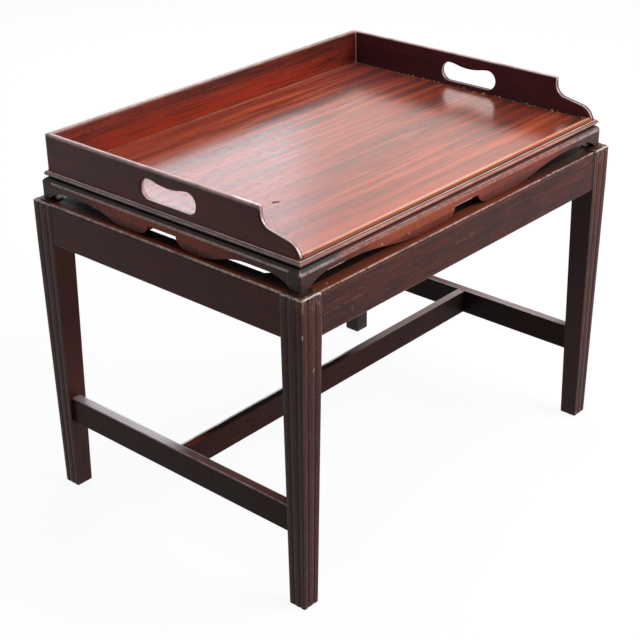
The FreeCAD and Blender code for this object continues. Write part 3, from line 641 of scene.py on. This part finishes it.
def stain_frame(name, grain):
    """Fretted frame: orange-red along its length, with a painted highlight in brighter red near the top and
    plum lower down, grey-brown and dusty in the drops and towards the corners.

    Gives the wood, and the share that is 1 at the corners.
    """
    wood = Wood(name, grain, RED_DEEP, RED, RED_BRIGHT, blotch=0.4)
    reach = FRAME_END if grain == "X" else FRAME_SIDE
    wander = wood.times(wood.reckon("SUBTRACT", wood.cloud(0.03, 5.0), 0.5), 0.08)
    run = wood.reckon("ADD", wood.size(wood.x if grain == "X" else wood.y), wander)
    middle = wood.step(run, reach - 0.10, reach - 0.19)
    left_part = wood.spread(wood.step(wood.x, -0.04, 0.12), 1.0, 0.15)
    # Painted light: a brighter red band near the top, in the middle of the frame's length and most on the
    # left.
    painted_light_band = wood.band(wood.z, FRAME_TOP - 0.021, FRAME_TOP - 0.010, 0.004)
    wood.lay(FRAME_GLOW, painted_light_band, middle, left_part, 0.75)
    wood.lay(PLUM, wood.step(wood.z, FRAME_TOP - 0.020, FRAME_TOP - 0.028), 0.6)
    corner = wood.step(run, reach - 0.13, reach - 0.04)
    wood.lay(CORNER_BROWN, corner, 0.85)
    mottle = wood.cloud(0.005, 6.0, 4.0, 0.75)
    wood.lay(RED_DEEP, wood.step(mottle, 0.52, 0.64), 0.45)
    glints = wood.times(wood.step(mottle, 0.46, 0.36), wood.without(corner), left_part)
    wood.lay(FRAME_GLOW, glints, 0.35)
    dust = wood.times(corner, wood.step(wood.cloud(0.004, 8.0, 4.0, 0.75), 0.52, 0.64))
    wood.lay(GREY_HAZE, dust, 0.25)
    return wood, corner


def round_long_frame(wood, corner):
    """Painted highlights along the round of the long frame's top edge, with painted shadow under the board
    and worn edges.
    """
    turned = wood.step(wood.facing()[2], 0.9995, 0.97)
    # Painted highlight: rose to grey along the round, greyer towards the corners.
    round_highlight = wood.times(wood.band(wood.z, FRAME_TOP - 0.0094, FRAME_TOP - 0.0066, 0.0013),
                         wood.patchy(0.006, 0.4, 3.0), wood.spread(corner, 0.70, 0.76))
    wood.lay(wood.mix(corner, ROUND_ROSE, ROUND_GREY), round_highlight)
    # Painted highlight: a thin grey line near the top, weaker at the left corner.
    brow_highlight = wood.times(wood.band(wood.z, FRAME_TOP - 0.0048, FRAME_TOP - 0.0042, 0.0005),
                      wood.patchy(0.012, 0.3, 2.0))
    left_end = wood.times(corner, wood.step(wood.x, 0.1, -0.1))
    wood.lay(ROUND_GREY, brow_highlight, wood.spread(left_end, 0.75, 0.0))
    # Painted shadow: dark along the top under the board, lower down at the left corner.
    painted_shadow = wood.step(wood.z, FRAME_TOP - 0.0040, FRAME_TOP - 0.0030)
    wood.lay(BLACK_STAIN, turned, painted_shadow, wood.spread(left_end, 0.55, 0.85))
    low_painted_shadow = wood.step(wood.z, FRAME_TOP - 0.0064, FRAME_TOP - 0.0052)
    wood.lay(BLACK_STAIN, turned, low_painted_shadow, left_end, 0.85)
    wood.wear_edges(0.003, WORN_PINK, 0.45, 0.012)


def long_frame_finish():
    """Front and back of the frame: dark cut ends with a pale seam, a painted highlight on the front left
    corner and chips.
    """
    wood, corner = stain_frame("long_frame_mahogany", "X")
    round_long_frame(wood, corner)
    end = wood.times(wood.step(wood.size(wood.facing()[0]), 0.75, 0.95),
                     wood.step(wood.size(wood.x), FRAME_END - 0.010, FRAME_END - 0.005))
    rings = wood.noise(wood.scaled(END_GRAIN), 2.0, 0.6)
    wood.lay(wood.mix(rings, BLACK_STAIN, PLUM_DEEP), end, 0.9)
    seam = wood.times(end, wood.step(wood.size(wood.y), FRAME_JOINT + 0.0016, FRAME_JOINT + 0.0006))
    wood.lay(WORN_PINK, seam, 0.6)
    # Painted highlight: cream on the edges of the front left corner near the top.
    nosing_highlight = wood.spot((-FRAME_END + 0.001, -FRAME_SIDE + 0.001, FRAME_TOP - 0.011), 0.012)
    wood.lay(FILLET_CREAM, nosing_highlight, wood.edges(0.007))
    chips = wood.most(wood.spot((-0.1963, -FRAME_SIDE, FRAME_TOP - 0.0194), 0.0022),
                      wood.spot((-0.1363, -FRAME_SIDE, FRAME_TOP - 0.0238), 0.0018))
    wood.lay(WORN_CREAM, chips, 0.85)
    return wood.polish(rough=0.36, specular=0.2)


def short_frame_finish():
    """Left and right of the frame: a pale painted highlight on the round below the painted shadow, and one
    chip.
    """
    wood = stain_frame("short_frame_mahogany", "Y")[0]
    turned = wood.step(wood.facing()[2], 0.9995, 0.97)
    # Painted highlight: pale along the round.
    round_highlight = wood.band(wood.z, FRAME_TOP - 0.0082, FRAME_TOP - 0.0060, 0.0009)
    wood.lay(ROUND_PALE, round_highlight, wood.patchy(0.006, 0.5, 3.0), 0.85)
    # Painted shadow: dark along the top under the board.
    painted_shadow = wood.step(wood.z, FRAME_TOP - 0.0054, FRAME_TOP - 0.0044)
    wood.lay(BLACK_STAIN, turned, painted_shadow, 0.92)
    wood.wear_edges(0.003, WORN_PINK, 0.45, 0.012)
    chip = wood.spot((-FRAME_END, -0.0762, FRAME_TOP - 0.0239), 0.0022)
    wood.lay(WORN_CREAM, chip, 0.7)
    return wood.polish(rough=0.36, specular=0.2)


def pad_finish():
    """Pads under the frame's feet: nearly black, a little worn round the edge."""
    wood = Wood("pad_mahogany", "X", BLACK_STAIN, PLUM_DEEP, PLUM)
    wood.wear_edges(0.0015, WORN_PINK, 0.3)
    return wood.polish(rough=0.45, specular=0.13)


def bare_finish(name, grain):
    """Unpolished pale wood that isn't meant to be seen."""
    return Wood(name, grain, BARE_DARK, BARE, BARE_PALE).polish(rough=0.62, specular=0.2)


def grain_board(paint, place, narrow, fine, pits):
    """Long streaks of orange and brown, redder on the left, with a pale lilac painted reflection by the left
    wall and dark pores.
    """
    wide = paint.strokes("X", 0.60, 0.034, (0.0, 0.3, 0.0), detail=2.0, rough=0.5, place=place)
    blend = paint.reckon("MULTIPLY_ADD", narrow, 0.44, paint.times(wide, 0.38))
    blend = paint.reckon("MULTIPLY_ADD", fine, 0.15, blend)
    paint.colour = paint.tones(blend, (0.38, BOARD_DEEP), (0.475, BOARD_RED), (0.57, BOARD_ORANGE))
    paint.lay(BOARD_RED, paint.step(fine, 0.50, 0.62), 0.35)
    paint.lay(BOARD_RED, paint.step(paint.x, 0.05, -0.25), 0.5)
    paint.lay(BOARD_DEEP, paint.step(fine, 0.48, 0.36), 0.4)
    # Painted reflection: pale lilac on the board by the left wall, behind the hand hole.
    dusty = paint.times(paint.step(paint.x, -0.27, -0.345), paint.band(paint.y, -0.09, 0.08, 0.06))
    paint.lay(DUST_AND_REFLECTION_LILAC, dusty, 0.30)
    paint.lay(BOARD_DEEP, pits, 0.3)


def tint_board(paint, place):
    """Warm along the lip, striped on the right, calmer in the middle, wine red in the far right corner."""
    warm = paint.times(paint.step(paint.y, LIP_BACK + 0.040, LIP_BACK + 0.014),
                       paint.step(paint.x, 0.32, 0.22))
    paint.lay(BOARD_ORANGE, warm, 0.55)
    stripes = paint.strokes("X", 0.30, 0.0125, (5.0, 1.0, 9.0), detail=2.0, rough=0.5, place=place)
    striped = paint.spread(paint.step(paint.x, -0.22, 0.10), 0.22, 0.52)
    paint.lay(BOARD_DEEP, paint.step(stripes, 0.48, 0.34), striped)
    paint.lay(BOARD_GLOW, paint.step(stripes, 0.51, 0.65), striped)
    calm = paint.times(paint.band(paint.x, 0.02, 0.16, 0.10), paint.band(paint.y, -0.10, 0.02, 0.06))
    paint.lay(BOARD_RED, calm, 0.25)
    corner = paint.times(paint.step(paint.x, 0.14, 0.30), paint.step(paint.y, 0.00, 0.12))
    paint.lay(BOARD_WINE, corner, 0.45)
    paint.lay(LIP_ORANGE, paint.step(paint.y, LIP_BACK + 0.0038, LIP_BACK + 0.0022))
    paint.lay(LIP_DARK, paint.step(paint.y, BOARD_FRONT + 0.0008, BOARD_FRONT + 0.0004))


def line_board(paint):
    """Broken lines along the walls, shade by the far ones, and chips and grit."""
    broken = paint.step(paint.cloud(0.010, 2.0, rough=0.7), 0.40, 0.62)
    back_joint = paint.band(paint.y, WALL_IN_Y - 0.0016, WALL_IN_Y, 0.0005)
    end_joint = paint.band(paint.size(paint.x), WALL_IN_X - 0.0014, WALL_IN_X, 0.0005)
    joint = paint.times(paint.most(back_joint, end_joint), paint.spread(broken, 0.35, 0.95))
    paint.lay(paint.mix(paint.step(paint.x, -0.15, 0.05), LIP_DARK, JOINT_PALE), joint)
    by_back = paint.times(paint.step(paint.y, 0.06, 0.20), 0.08)
    by_right = paint.times(paint.step(paint.x, 0.18, 0.33), paint.step(paint.y, 0.12, 0.02), 0.40)
    paint.lay(BOARD_DEEP, paint.most(by_back, by_right))
    chipped = paint.times(paint.step(paint.x, WALL_IN_X - 0.0050, WALL_IN_X - 0.0035),
                          paint.specks(0.0060, 0.0023, 1.0, 2.0),
                          paint.spread(paint.band(paint.y, -0.13, 0.06, 0.03), 0.5, 1.0))
    grit = paint.most(paint.spot((-0.0186, 0.1687, BOARD_TOP), 0.0014),
                      paint.spot((0.1998, 0.1543, BOARD_TOP), 0.0012))
    paint.lay(FILLET_CREAM, paint.most(chipped, grit), 0.9)


def board_finish():
    """Ribbon-striped board: long orange and grey-brown streaks under a polish that mirrors the walls."""
    paint = Finish("board_mahogany")
    place = paint.wavy(0.16, 0.012)
    narrow = paint.strokes("X", 0.34, 0.0120, (2.0, 5.0, 1.0), detail=2.0, place=place)
    fine = paint.strokes("X", 0.10, 0.0022, (4.0, 3.0, 7.0), rough=0.6, place=place)
    pores = paint.strokes("X", 0.010, 0.0005, (7.0, 2.0, 4.0), detail=2.0, rough=0.6)
    pits = paint.step(pores, 0.42, 0.34)
    grain_board(paint, place, narrow, fine, pits)
    tint_board(paint, place)
    stain = paint.scratch((-0.2340, -0.0950, BOARD_TOP), (-0.2285, -0.0982, BOARD_TOP), 0.0044)
    paint.lay(CORNER_BROWN, stain, 0.85)
    line_board(paint)
    ripple = paint.cloud(0.0026, 5.0, detail=2.0)
    height = paint.reckon("MULTIPLY_ADD", pits, -1.0, paint.reckon("ADD", fine, ripple))
    paint.bump(height, 0.00010, 0.5)
    paint.shader.inputs["Specular Tint"].default_value = POLISH_TINT
    rough = paint.most(paint.spread(narrow, 0.15, 0.24), paint.times(stain, 0.8))
    return paint.surface(rough, specular=0.3)


def rim_wear_and_highlight(wood, sideways, foot, colour, inside=0.0, outside=0.0, lean=0.0):
    """Pale rubbed edge of a wall above its foot, where it turns away from the flat faces: partly wear, mostly
    a painted highlight, over painted shade on the rest of the turn.

    Inside and outside are shares of the faces that narrow and widen it along the level top, and lean
    tilts it sideways on the curves below. Gives the share of those curves.
    """
    turn = wood.size(sideways)
    above = wood.step(wood.z, foot, foot + 0.0015)
    level = wood.times(wood.step(turn, 0.95, 0.60), wood.step(wood.z, WALL_TOP - 0.007, WALL_TOP - 0.005))
    level = wood.times(level, wood.without(wood.times(wood.step(turn, 0.25, 0.55), inside)))
    shoulder = wood.times(wood.step(wood.z, WALL_TOP - 0.0047, WALL_TOP - 0.0038), outside)
    curved = wood.times(wood.step(wood.size(wood.reckon("ADD", sideways, lean)), 0.36, 0.14), above)
    edge = wood.most(level, shoulder, curved)
    # Painted shade: dark over the turn of the rim.
    wood.lay(LEG_DEEP, wood.step(turn, 0.97, 0.85), above, 0.85)
    # Painted highlight, partly wear: pale along the level top and the middle of the curves.
    wood.lay(colour, edge, wood.patchy(0.03, 0.6, 7.0), 0.92)
    wood.lay(WORN_CREAM, edge, wood.specks(0.011, 0.0015, 0.08), 0.8)
    return curved


def line_hole(wood, lengthwise, across, upward):
    """Hand hole: painted shade all round, with a pale painted highlight on its back end."""
    turn = wood.size(lengthwise)
    hole = wood.times(wood.band(wood.z, HOLE_BOTTOM, HOLE_TOP, 0.0010),
                      wood.band(wood.y, HOLE_FRONT, HOLE_BACK, 0.0010))
    # Painted shade: dark in the bore.
    bore = wood.times(hole, wood.step(turn, 0.90, 0.60), wood.step(upward, 0.55, 0.15))
    wood.lay(PLUM_DEEP, bore, 0.92)
    inner_half = wood.step(wood.size(wood.x), WALL_IN_X + 0.0052, WALL_IN_X + 0.0038)
    # Painted highlight: pale on the inner half of the hole's back end.
    back_end = wood.times(hole, inner_half, wood.step(turn, 0.45, 0.15), wood.step(across, -0.35, -0.75))
    wood.lay(RIM_PALE, back_end, 0.9)


def end_wall_finish():
    """End walls: dark plum, painted shade near black inside, with pale rims that are partly wear and partly
    painted highlight.
    """
    wood = Wood("end_wall_mahogany", "Y", RED_DEEP, RED, RED_BRIGHT, blotch=0.5)
    lengthwise, across, upward = wood.facing()
    outward = wood.times(lengthwise, wood.x)
    inside = wood.step(outward, -0.10, -0.28)
    outside = wood.step(outward, 0.10, 0.28)
    right_one = wood.step(wood.x, 0.0, 0.1)
    # Painted shade: the inner faces near black.
    wood.lay(WALL_SHADE, inside, 0.78)
    upper = wood.step(wood.z, WALL_TOP - 0.0245, WALL_TOP - 0.0075)
    wood.lay(LEG_DEEP, outside, wood.spread(upper, 0.3, 0.6))
    specks = wood.most(wood.spot((WALL_IN_X, -0.1489, WALL_TOP - 0.0117), 0.0016),
                       wood.spot((WALL_IN_X, -0.1408, WALL_TOP - 0.0391), 0.0014),
                       wood.specks(0.016, 0.0008, 0.05, 2.0))
    wood.lay(WORN_PINK, specks, 0.7)
    curved = rim_wear_and_highlight(wood, lengthwise, BOARD_TOP + 0.0010, RIM_PALE, inside, outside,
                     lean=wood.times(right_one, 0.48))
    wood.wax(wood.times(curved, wood.step(wood.y, -0.12, -0.15), 0.8), gloss=2.0)
    line_hole(wood, lengthwise, across, upward)
    foot = wood.times(inside, right_one, wood.step(wood.z, BOARD_TOP + 0.0030, BOARD_TOP + 0.0018),
                      wood.step(wood.y, 0.20, 0.10))
    wood.lay(FILLET_CREAM, foot, wood.specks(0.0065, 0.0025, 1.0, 7.0), 0.95)
    corner = wood.step(wood.y, WALL_IN_Y - 0.0018, WALL_IN_Y - 0.0008)
    wood.lay(DUST_AND_REFLECTION_LILAC, corner, inside, 0.75)
    return wood.polish(rough=0.33, specular=0.19)


def back_wall_finish():
    """Back wall: purple-brown above, flame red low down in the middle, with a rubbed rim carrying a painted
    highlight and dusty joints.
    """
    wood = Wood("back_wall_mahogany", "X", RED_DEEP, WALL_RED, RED_BRIGHT, blotch=0.30)
    across = wood.facing()[1]
    lift = wood.reckon("SUBTRACT", wood.strokes("X", 0.20, 0.012, (1.0, 4.0, 2.0)), 0.5)
    lifted = wood.reckon("ADD", wood.z, wood.times(lift, 0.05))
    flame = wood.step(lifted, WALL_TOP - 0.0175, WALL_TOP - 0.0415)
    middle = wood.times(wood.step(wood.x, -0.40, -0.15), wood.step(wood.x, 0.34, 0.10))
    wood.lay(FLAME_RED, flame, middle, 0.75)
    upper = wood.step(wood.z, WALL_TOP - 0.0295, WALL_TOP - 0.0095)
    wood.lay(PLUM_DEEP, upper, wood.step(wood.x, -0.30, 0.0), 0.34)
    wood.lay(PLUM_DEEP, wood.step(wood.x, 0.10, 0.30), wood.spread(upper, 0.05, 0.38))
    streaks = wood.step(wood.strokes("X", 0.11, 0.0045, (6.0, 1.0, 8.0), rough=0.6), 0.50, 0.64)
    wood.lay(PLUM_DEEP, streaks, 0.5)
    rim_wear_and_highlight(wood, across, WALL_TOP - 0.0085, RIM_ROSE)
    corner = wood.times(wood.step(wood.x, WALL_IN_X - 0.0026, WALL_IN_X - 0.0012),
                        wood.patchy(0.010, 0.6, 3.0))
    foot = wood.spot((WALL_IN_X, WALL_IN_Y, BOARD_TOP + 0.001), 0.0045)
    wood.lay(DUST_AND_REFLECTION_LILAC, wood.most(corner, foot), 0.75)
    joint = wood.times(wood.step(wood.z, BOARD_TOP + 0.0018, BOARD_TOP + 0.0008), wood.patchy(0.02, 0.4))
    wood.lay(JOINT_PALE, joint, 0.6)
    return wood.polish(rough=0.33, specular=0.2)


def lip_finish():
    """Front lip: rubbed through to golden orange with a paler painted highlight along its middle, brown down
    its front and grubby at the left end.
    """
    wood = Wood("lip_mahogany", "X", LIP_RED, LIP_ORANGE, LIP_GOLD, blotch=0.0)
    # Painted highlight: paler along the middle of the lip.
    wood.lay(LIP_PALE, wood.band(wood.x, -0.10, 0.08, 0.10), 0.8)
    grubby = wood.step(wood.strokes("X", 0.012, 0.0030, (2.0, 3.0, 5.0), rough=0.7), 0.44, 0.58)
    wood.lay(LIP_SHADE, grubby, wood.step(wood.x, -0.25, -0.335), 0.65)
    left = wood.step(wood.x, -0.24, -0.34)
    front = wood.step(wood.y, LIP_MIDDLE - 0.0006, LIP_MIDDLE - 0.0030)
    wood.lay(wood.mix(left, LIP_BROWN, LIP_SHADE), front, 0.95)
    wood.lay(LIP_SHADE, wood.step(wood.y, LIP_MIDDLE - 0.0022, LIP_MIDDLE - 0.0044), 0.9)
    return wood.polish(rough=0.34, specular=0.24)


def moulding_finish(name, grain, fillet, torus, depth, quirk, painted_shadow):
    """Moulding: a painted highlight on the round below a pale fillet that is worn and carries a painted
    highlight, with painted shade in the quirk between them and painted shadow below.

    Fillet and torus are tones, depth is how far down the painted highlight on the round reaches, and quirk
    and painted_shadow are shares of the painted dark lines.
    """
    wood = Wood(name, grain, RED_DEEP, RED, RED_BRIGHT, blotch=0.4)
    side, edge = (wood.y, -BOARD_FRONT) if grain == "X" else (wood.x, BOARD_END)
    out = wood.reckon("SUBTRACT", wood.size(side), edge)
    drop = wood.reckon("SUBTRACT", MOULDING_TOP, wood.z)
    top = wood.step(drop, 0.0011, 0.0009)
    # Painted highlight: the torus tone over the round, down to depth.
    wood.lay(torus, wood.band(drop, 0.0024, depth, 0.0007), wood.patchy(0.03, 0.65), 0.95)
    if grain == "X":
        wood.lay(PLUM, wood.step(wood.size(wood.x), 0.22, 0.35), 0.55)
    # Painted shade: a dark line in the quirk.
    wood.lay(LIP_DARK, wood.band(drop, 0.0011, 0.0018, 0.0003), quirk)
    wood.lay(LIP_DARK, top, 0.9)
    # Painted highlight, partly wear: pale and glossy along the outer edge of the fillet.
    worn = wood.times(top, wood.step(out, 0.0011, 0.0014), wood.patchy(0.03, 0.65, 1.0))
    wood.lay(fillet, worn)
    wood.wax(worn, gloss=2.2)
    # Painted shadow: dark low on the round, above the frame.
    wood.lay(BLACK_STAIN, wood.step(drop, 0.0044, 0.0058), painted_shadow)
    return wood.polish(rough=0.3, specular=0.3)


def long_moulding_finish():
    """Front and back mouldings: a pink painted highlight on the round under a cream fillet with a painted
    highlight.
    """
    return moulding_finish("long_moulding_mahogany", "X", FILLET_CREAM, TORUS_PINK,
                           depth=0.0066, quirk=0.8, painted_shadow=0.0)


def short_moulding_finish():
    """Left and right mouldings: a grey painted highlight on the round under a grey fillet with a painted
    highlight, with painted shadow below.
    """
    return moulding_finish("short_moulding_mahogany", "Y", FILLET_GREY, TORUS_GREY,
                           depth=0.0050, quirk=0.7, painted_shadow=0.9)


def screw_steel():
    """Plain steel of the screws."""
    paint = Finish("screw_steel")
    turned = paint.noise(paint.scaled(STEEL_GRAIN), 3.0, 0.6)
    paint.colour = paint.mix(turned, STEEL_DARK, STEEL_PALE)
    paint.shader.inputs["Metallic"].default_value = 1.0
    paint.bump(turned, 0.00002)
    return paint.surface(paint.spread(turned, 0.3, 0.45), specular=0.5)


def dress(material, *names):
    """Give a material to nodes."""
    for name in names:
        nodes[name].material_slots[0].material = material


def corners(piece):
    """Names of a piece that stands at all four corners."""
    return [f"{piece}_{side}_{end}" for side in ("front", "back") for end in ("left", "right")]


def dress_stand():
    """Materials of the stand's pieces."""
    dress(leg_finish(), *corners("leg"))
    dress(long_rail_finish(), "rail_front", "rail_back")
    dress(short_rail_finish(), "rail_left", "rail_right")
    dress(end_stretcher_finish(), "end_stretcher_left", "end_stretcher_right")
    dress(centre_stretcher_finish(), "centre_stretcher")
    dress(ledger_finish("long_ledger_stain_and_shade", "X"), "ledger_front", "ledger_back")
    dress(ledger_finish("short_ledger_stain_and_shade", "Y"), "ledger_left", "ledger_right")
    dress(ledger_finish("corner_block_stain_and_shade", "X"), *corners("corner_block"))
    dress(long_frame_finish(), "frame_front", "frame_back")
    dress(short_frame_finish(), "frame_left", "frame_right")
    dress(pad_finish(), *corners("pad"))
    dress(bare_finish("dowel_beech", "Z"), "frame_dowels")


def dress_tray():
    """Materials of the tray's pieces."""
    dress(board_finish(), "tray_board")
    dress(end_wall_finish(), "end_wall_left", "end_wall_right")
    dress(back_wall_finish(), "back_wall")
    dress(lip_finish(), "front_lip")
    dress(long_moulding_finish(), "moulding_front", "moulding_back")
    dress(short_moulding_finish(), "moulding_left", "moulding_right")
    dress(bare_finish("batten_pine", "Y"), "batten_left", "batten_right")
    dress(screw_steel(), "wall_screws", "batten_screws")


# Floor, world, lamps and camera; lengths in metres
FLOOR_WIDTH = 30.0
FLOOR_SHADE = tone(0.13, 0.13, 0.13)
FLOOR_WHITE = tone(0.92, 0.92, 0.92)
WORLD_WHITE = tone(1.0, 1.0, 1.0)
WORLD_LIGHT = 0.09
WARM_LIGHT = (1.0, 0.79, 0.72)
COOL_LIGHT = (0.61, 0.85, 1.0)
CAMERA_PLACE = (-1.61971, -1.41733, 1.34470)
CAMERA_AIM = (0.663759, 0.592856, -0.456011)
CAMERA_ROLL = math.radians(-0.830)
SENSOR_MM = 36.0
LENS_MM = 81.976


def seen_directly(tree):
    """1 for camera, glossy and transmission rays, 0 for the rays that light things."""
    path = tree.nodes.new("ShaderNodeLightPath")
    total = path.outputs["Is Camera Ray"]
    for name in ("Is Glossy Ray", "Is Transmission Ray"):
        larger = tree.nodes.new("ShaderNodeMath")
        larger.operation = "MAXIMUM"
        tree.links.new(total, larger.inputs[0])
        tree.links.new(path.outputs[name], larger.inputs[1])
        total = larger.outputs[0]
    return total


def pale_floor():
    """Wide pale floor: white to look at, with a faint shadow under the table."""
    bpy.ops.mesh.primitive_plane_add(size=FLOOR_WIDTH, location=(0.0, 0.0, 0.0))
    floor = bpy.context.object
    floor.name = "floor"
    material = bpy.data.materials.new("floor_pale")
    material.use_nodes = True
    tree = material.node_tree
    tree.nodes.remove(tree.nodes["Principled BSDF"])
    matt = tree.nodes.new("ShaderNodeBsdfDiffuse")
    matt.inputs["Color"].default_value = FLOOR_SHADE
    painted_light_band = tree.nodes.new("ShaderNodeEmission")
    tree.links.new(seen_directly(tree), painted_light_band.inputs["Strength"])
    painted_light_band.inputs["Color"].default_value = FLOOR_WHITE
    both = tree.nodes.new("ShaderNodeAddShader")
    tree.links.new(matt.outputs[0], both.inputs[0])
    tree.links.new(painted_light_band.outputs[0], both.inputs[1])
    tree.links.new(both.outputs[0], tree.nodes["Material Output"].inputs["Surface"])
    floor.data.materials.append(material)


def white_world():
    """White to look at, but only a little light from all round."""
    world = bpy.data.worlds.new("studio")
    bpy.context.scene.world = world
    world.use_nodes = True
    tree = world.node_tree
    background = tree.nodes["Background"]
    background.inputs["Color"].default_value = WORLD_WHITE
    level = tree.nodes.new("ShaderNodeMapRange")
    level.inputs["To Min"].default_value = WORLD_LIGHT
    level.inputs["To Max"].default_value = 1.0
    tree.links.new(seen_directly(tree), level.inputs["Value"])
    tree.links.new(level.outputs[0], background.inputs["Strength"])


def softbox(name, place, aim, width, height, power, colour=(1.0, 1.0, 1.0)):
    """A soft lamp turned to a height on the table's upright axis; the camera doesn't see it."""
    lamp = bpy.data.lights.new(name, "AREA")
    lamp.color = colour
    lamp.shape = "RECTANGLE"
    lamp.size = width
    lamp.size_y = height
    lamp.energy = power
    box = bpy.data.objects.new(name, lamp)
    bpy.context.scene.collection.objects.link(box)
    box.location = place
    box.rotation_mode = "QUATERNION"
    box.rotation_quaternion = (Vector((0.0, 0.0, aim)) - Vector(place)).to_track_quat("-Z", "Y")
    box.visible_camera = False


def studio():
    """Floor, white world and lamps."""
    pale_floor()
    white_world()
    softbox("key_light", (1.7, -2.7, 2.4), aim=0.4, width=2.6, height=2.6, power=100.0)
    softbox("top_light", (0.0, 0.2, 3.1), aim=0.5, width=2.4, height=2.4, power=26.0)
    softbox("back_light", (2.07, 1.87, 1.65), aim=0.55, width=2.4, height=1.2, power=14.8,
            colour=WARM_LIGHT)
    softbox("back_left_light", (1.71, 2.23, 1.65), aim=0.55, width=0.9, height=1.2, power=9.3,
            colour=COOL_LIGHT)


def camera():
    """Camera at the place the photograph was taken from."""
    lens = bpy.data.cameras.new("camera")
    lens.sensor_width = SENSOR_MM
    lens.lens = LENS_MM
    holder = bpy.data.objects.new("camera", lens)
    bpy.context.scene.collection.objects.link(holder)
    holder.location = CAMERA_PLACE
    holder.rotation_mode = "QUATERNION"
    roll = Quaternion((0.0, 0.0, 1.0), CAMERA_ROLL)
    holder.rotation_quaternion = Vector(CAMERA_AIM).to_track_quat("-Z", "Y") @ roll
    bpy.context.scene.camera = holder


dress_stand()
dress_tray()
studio()
camera()
bpy.context.scene.view_settings.view_transform = "Standard"
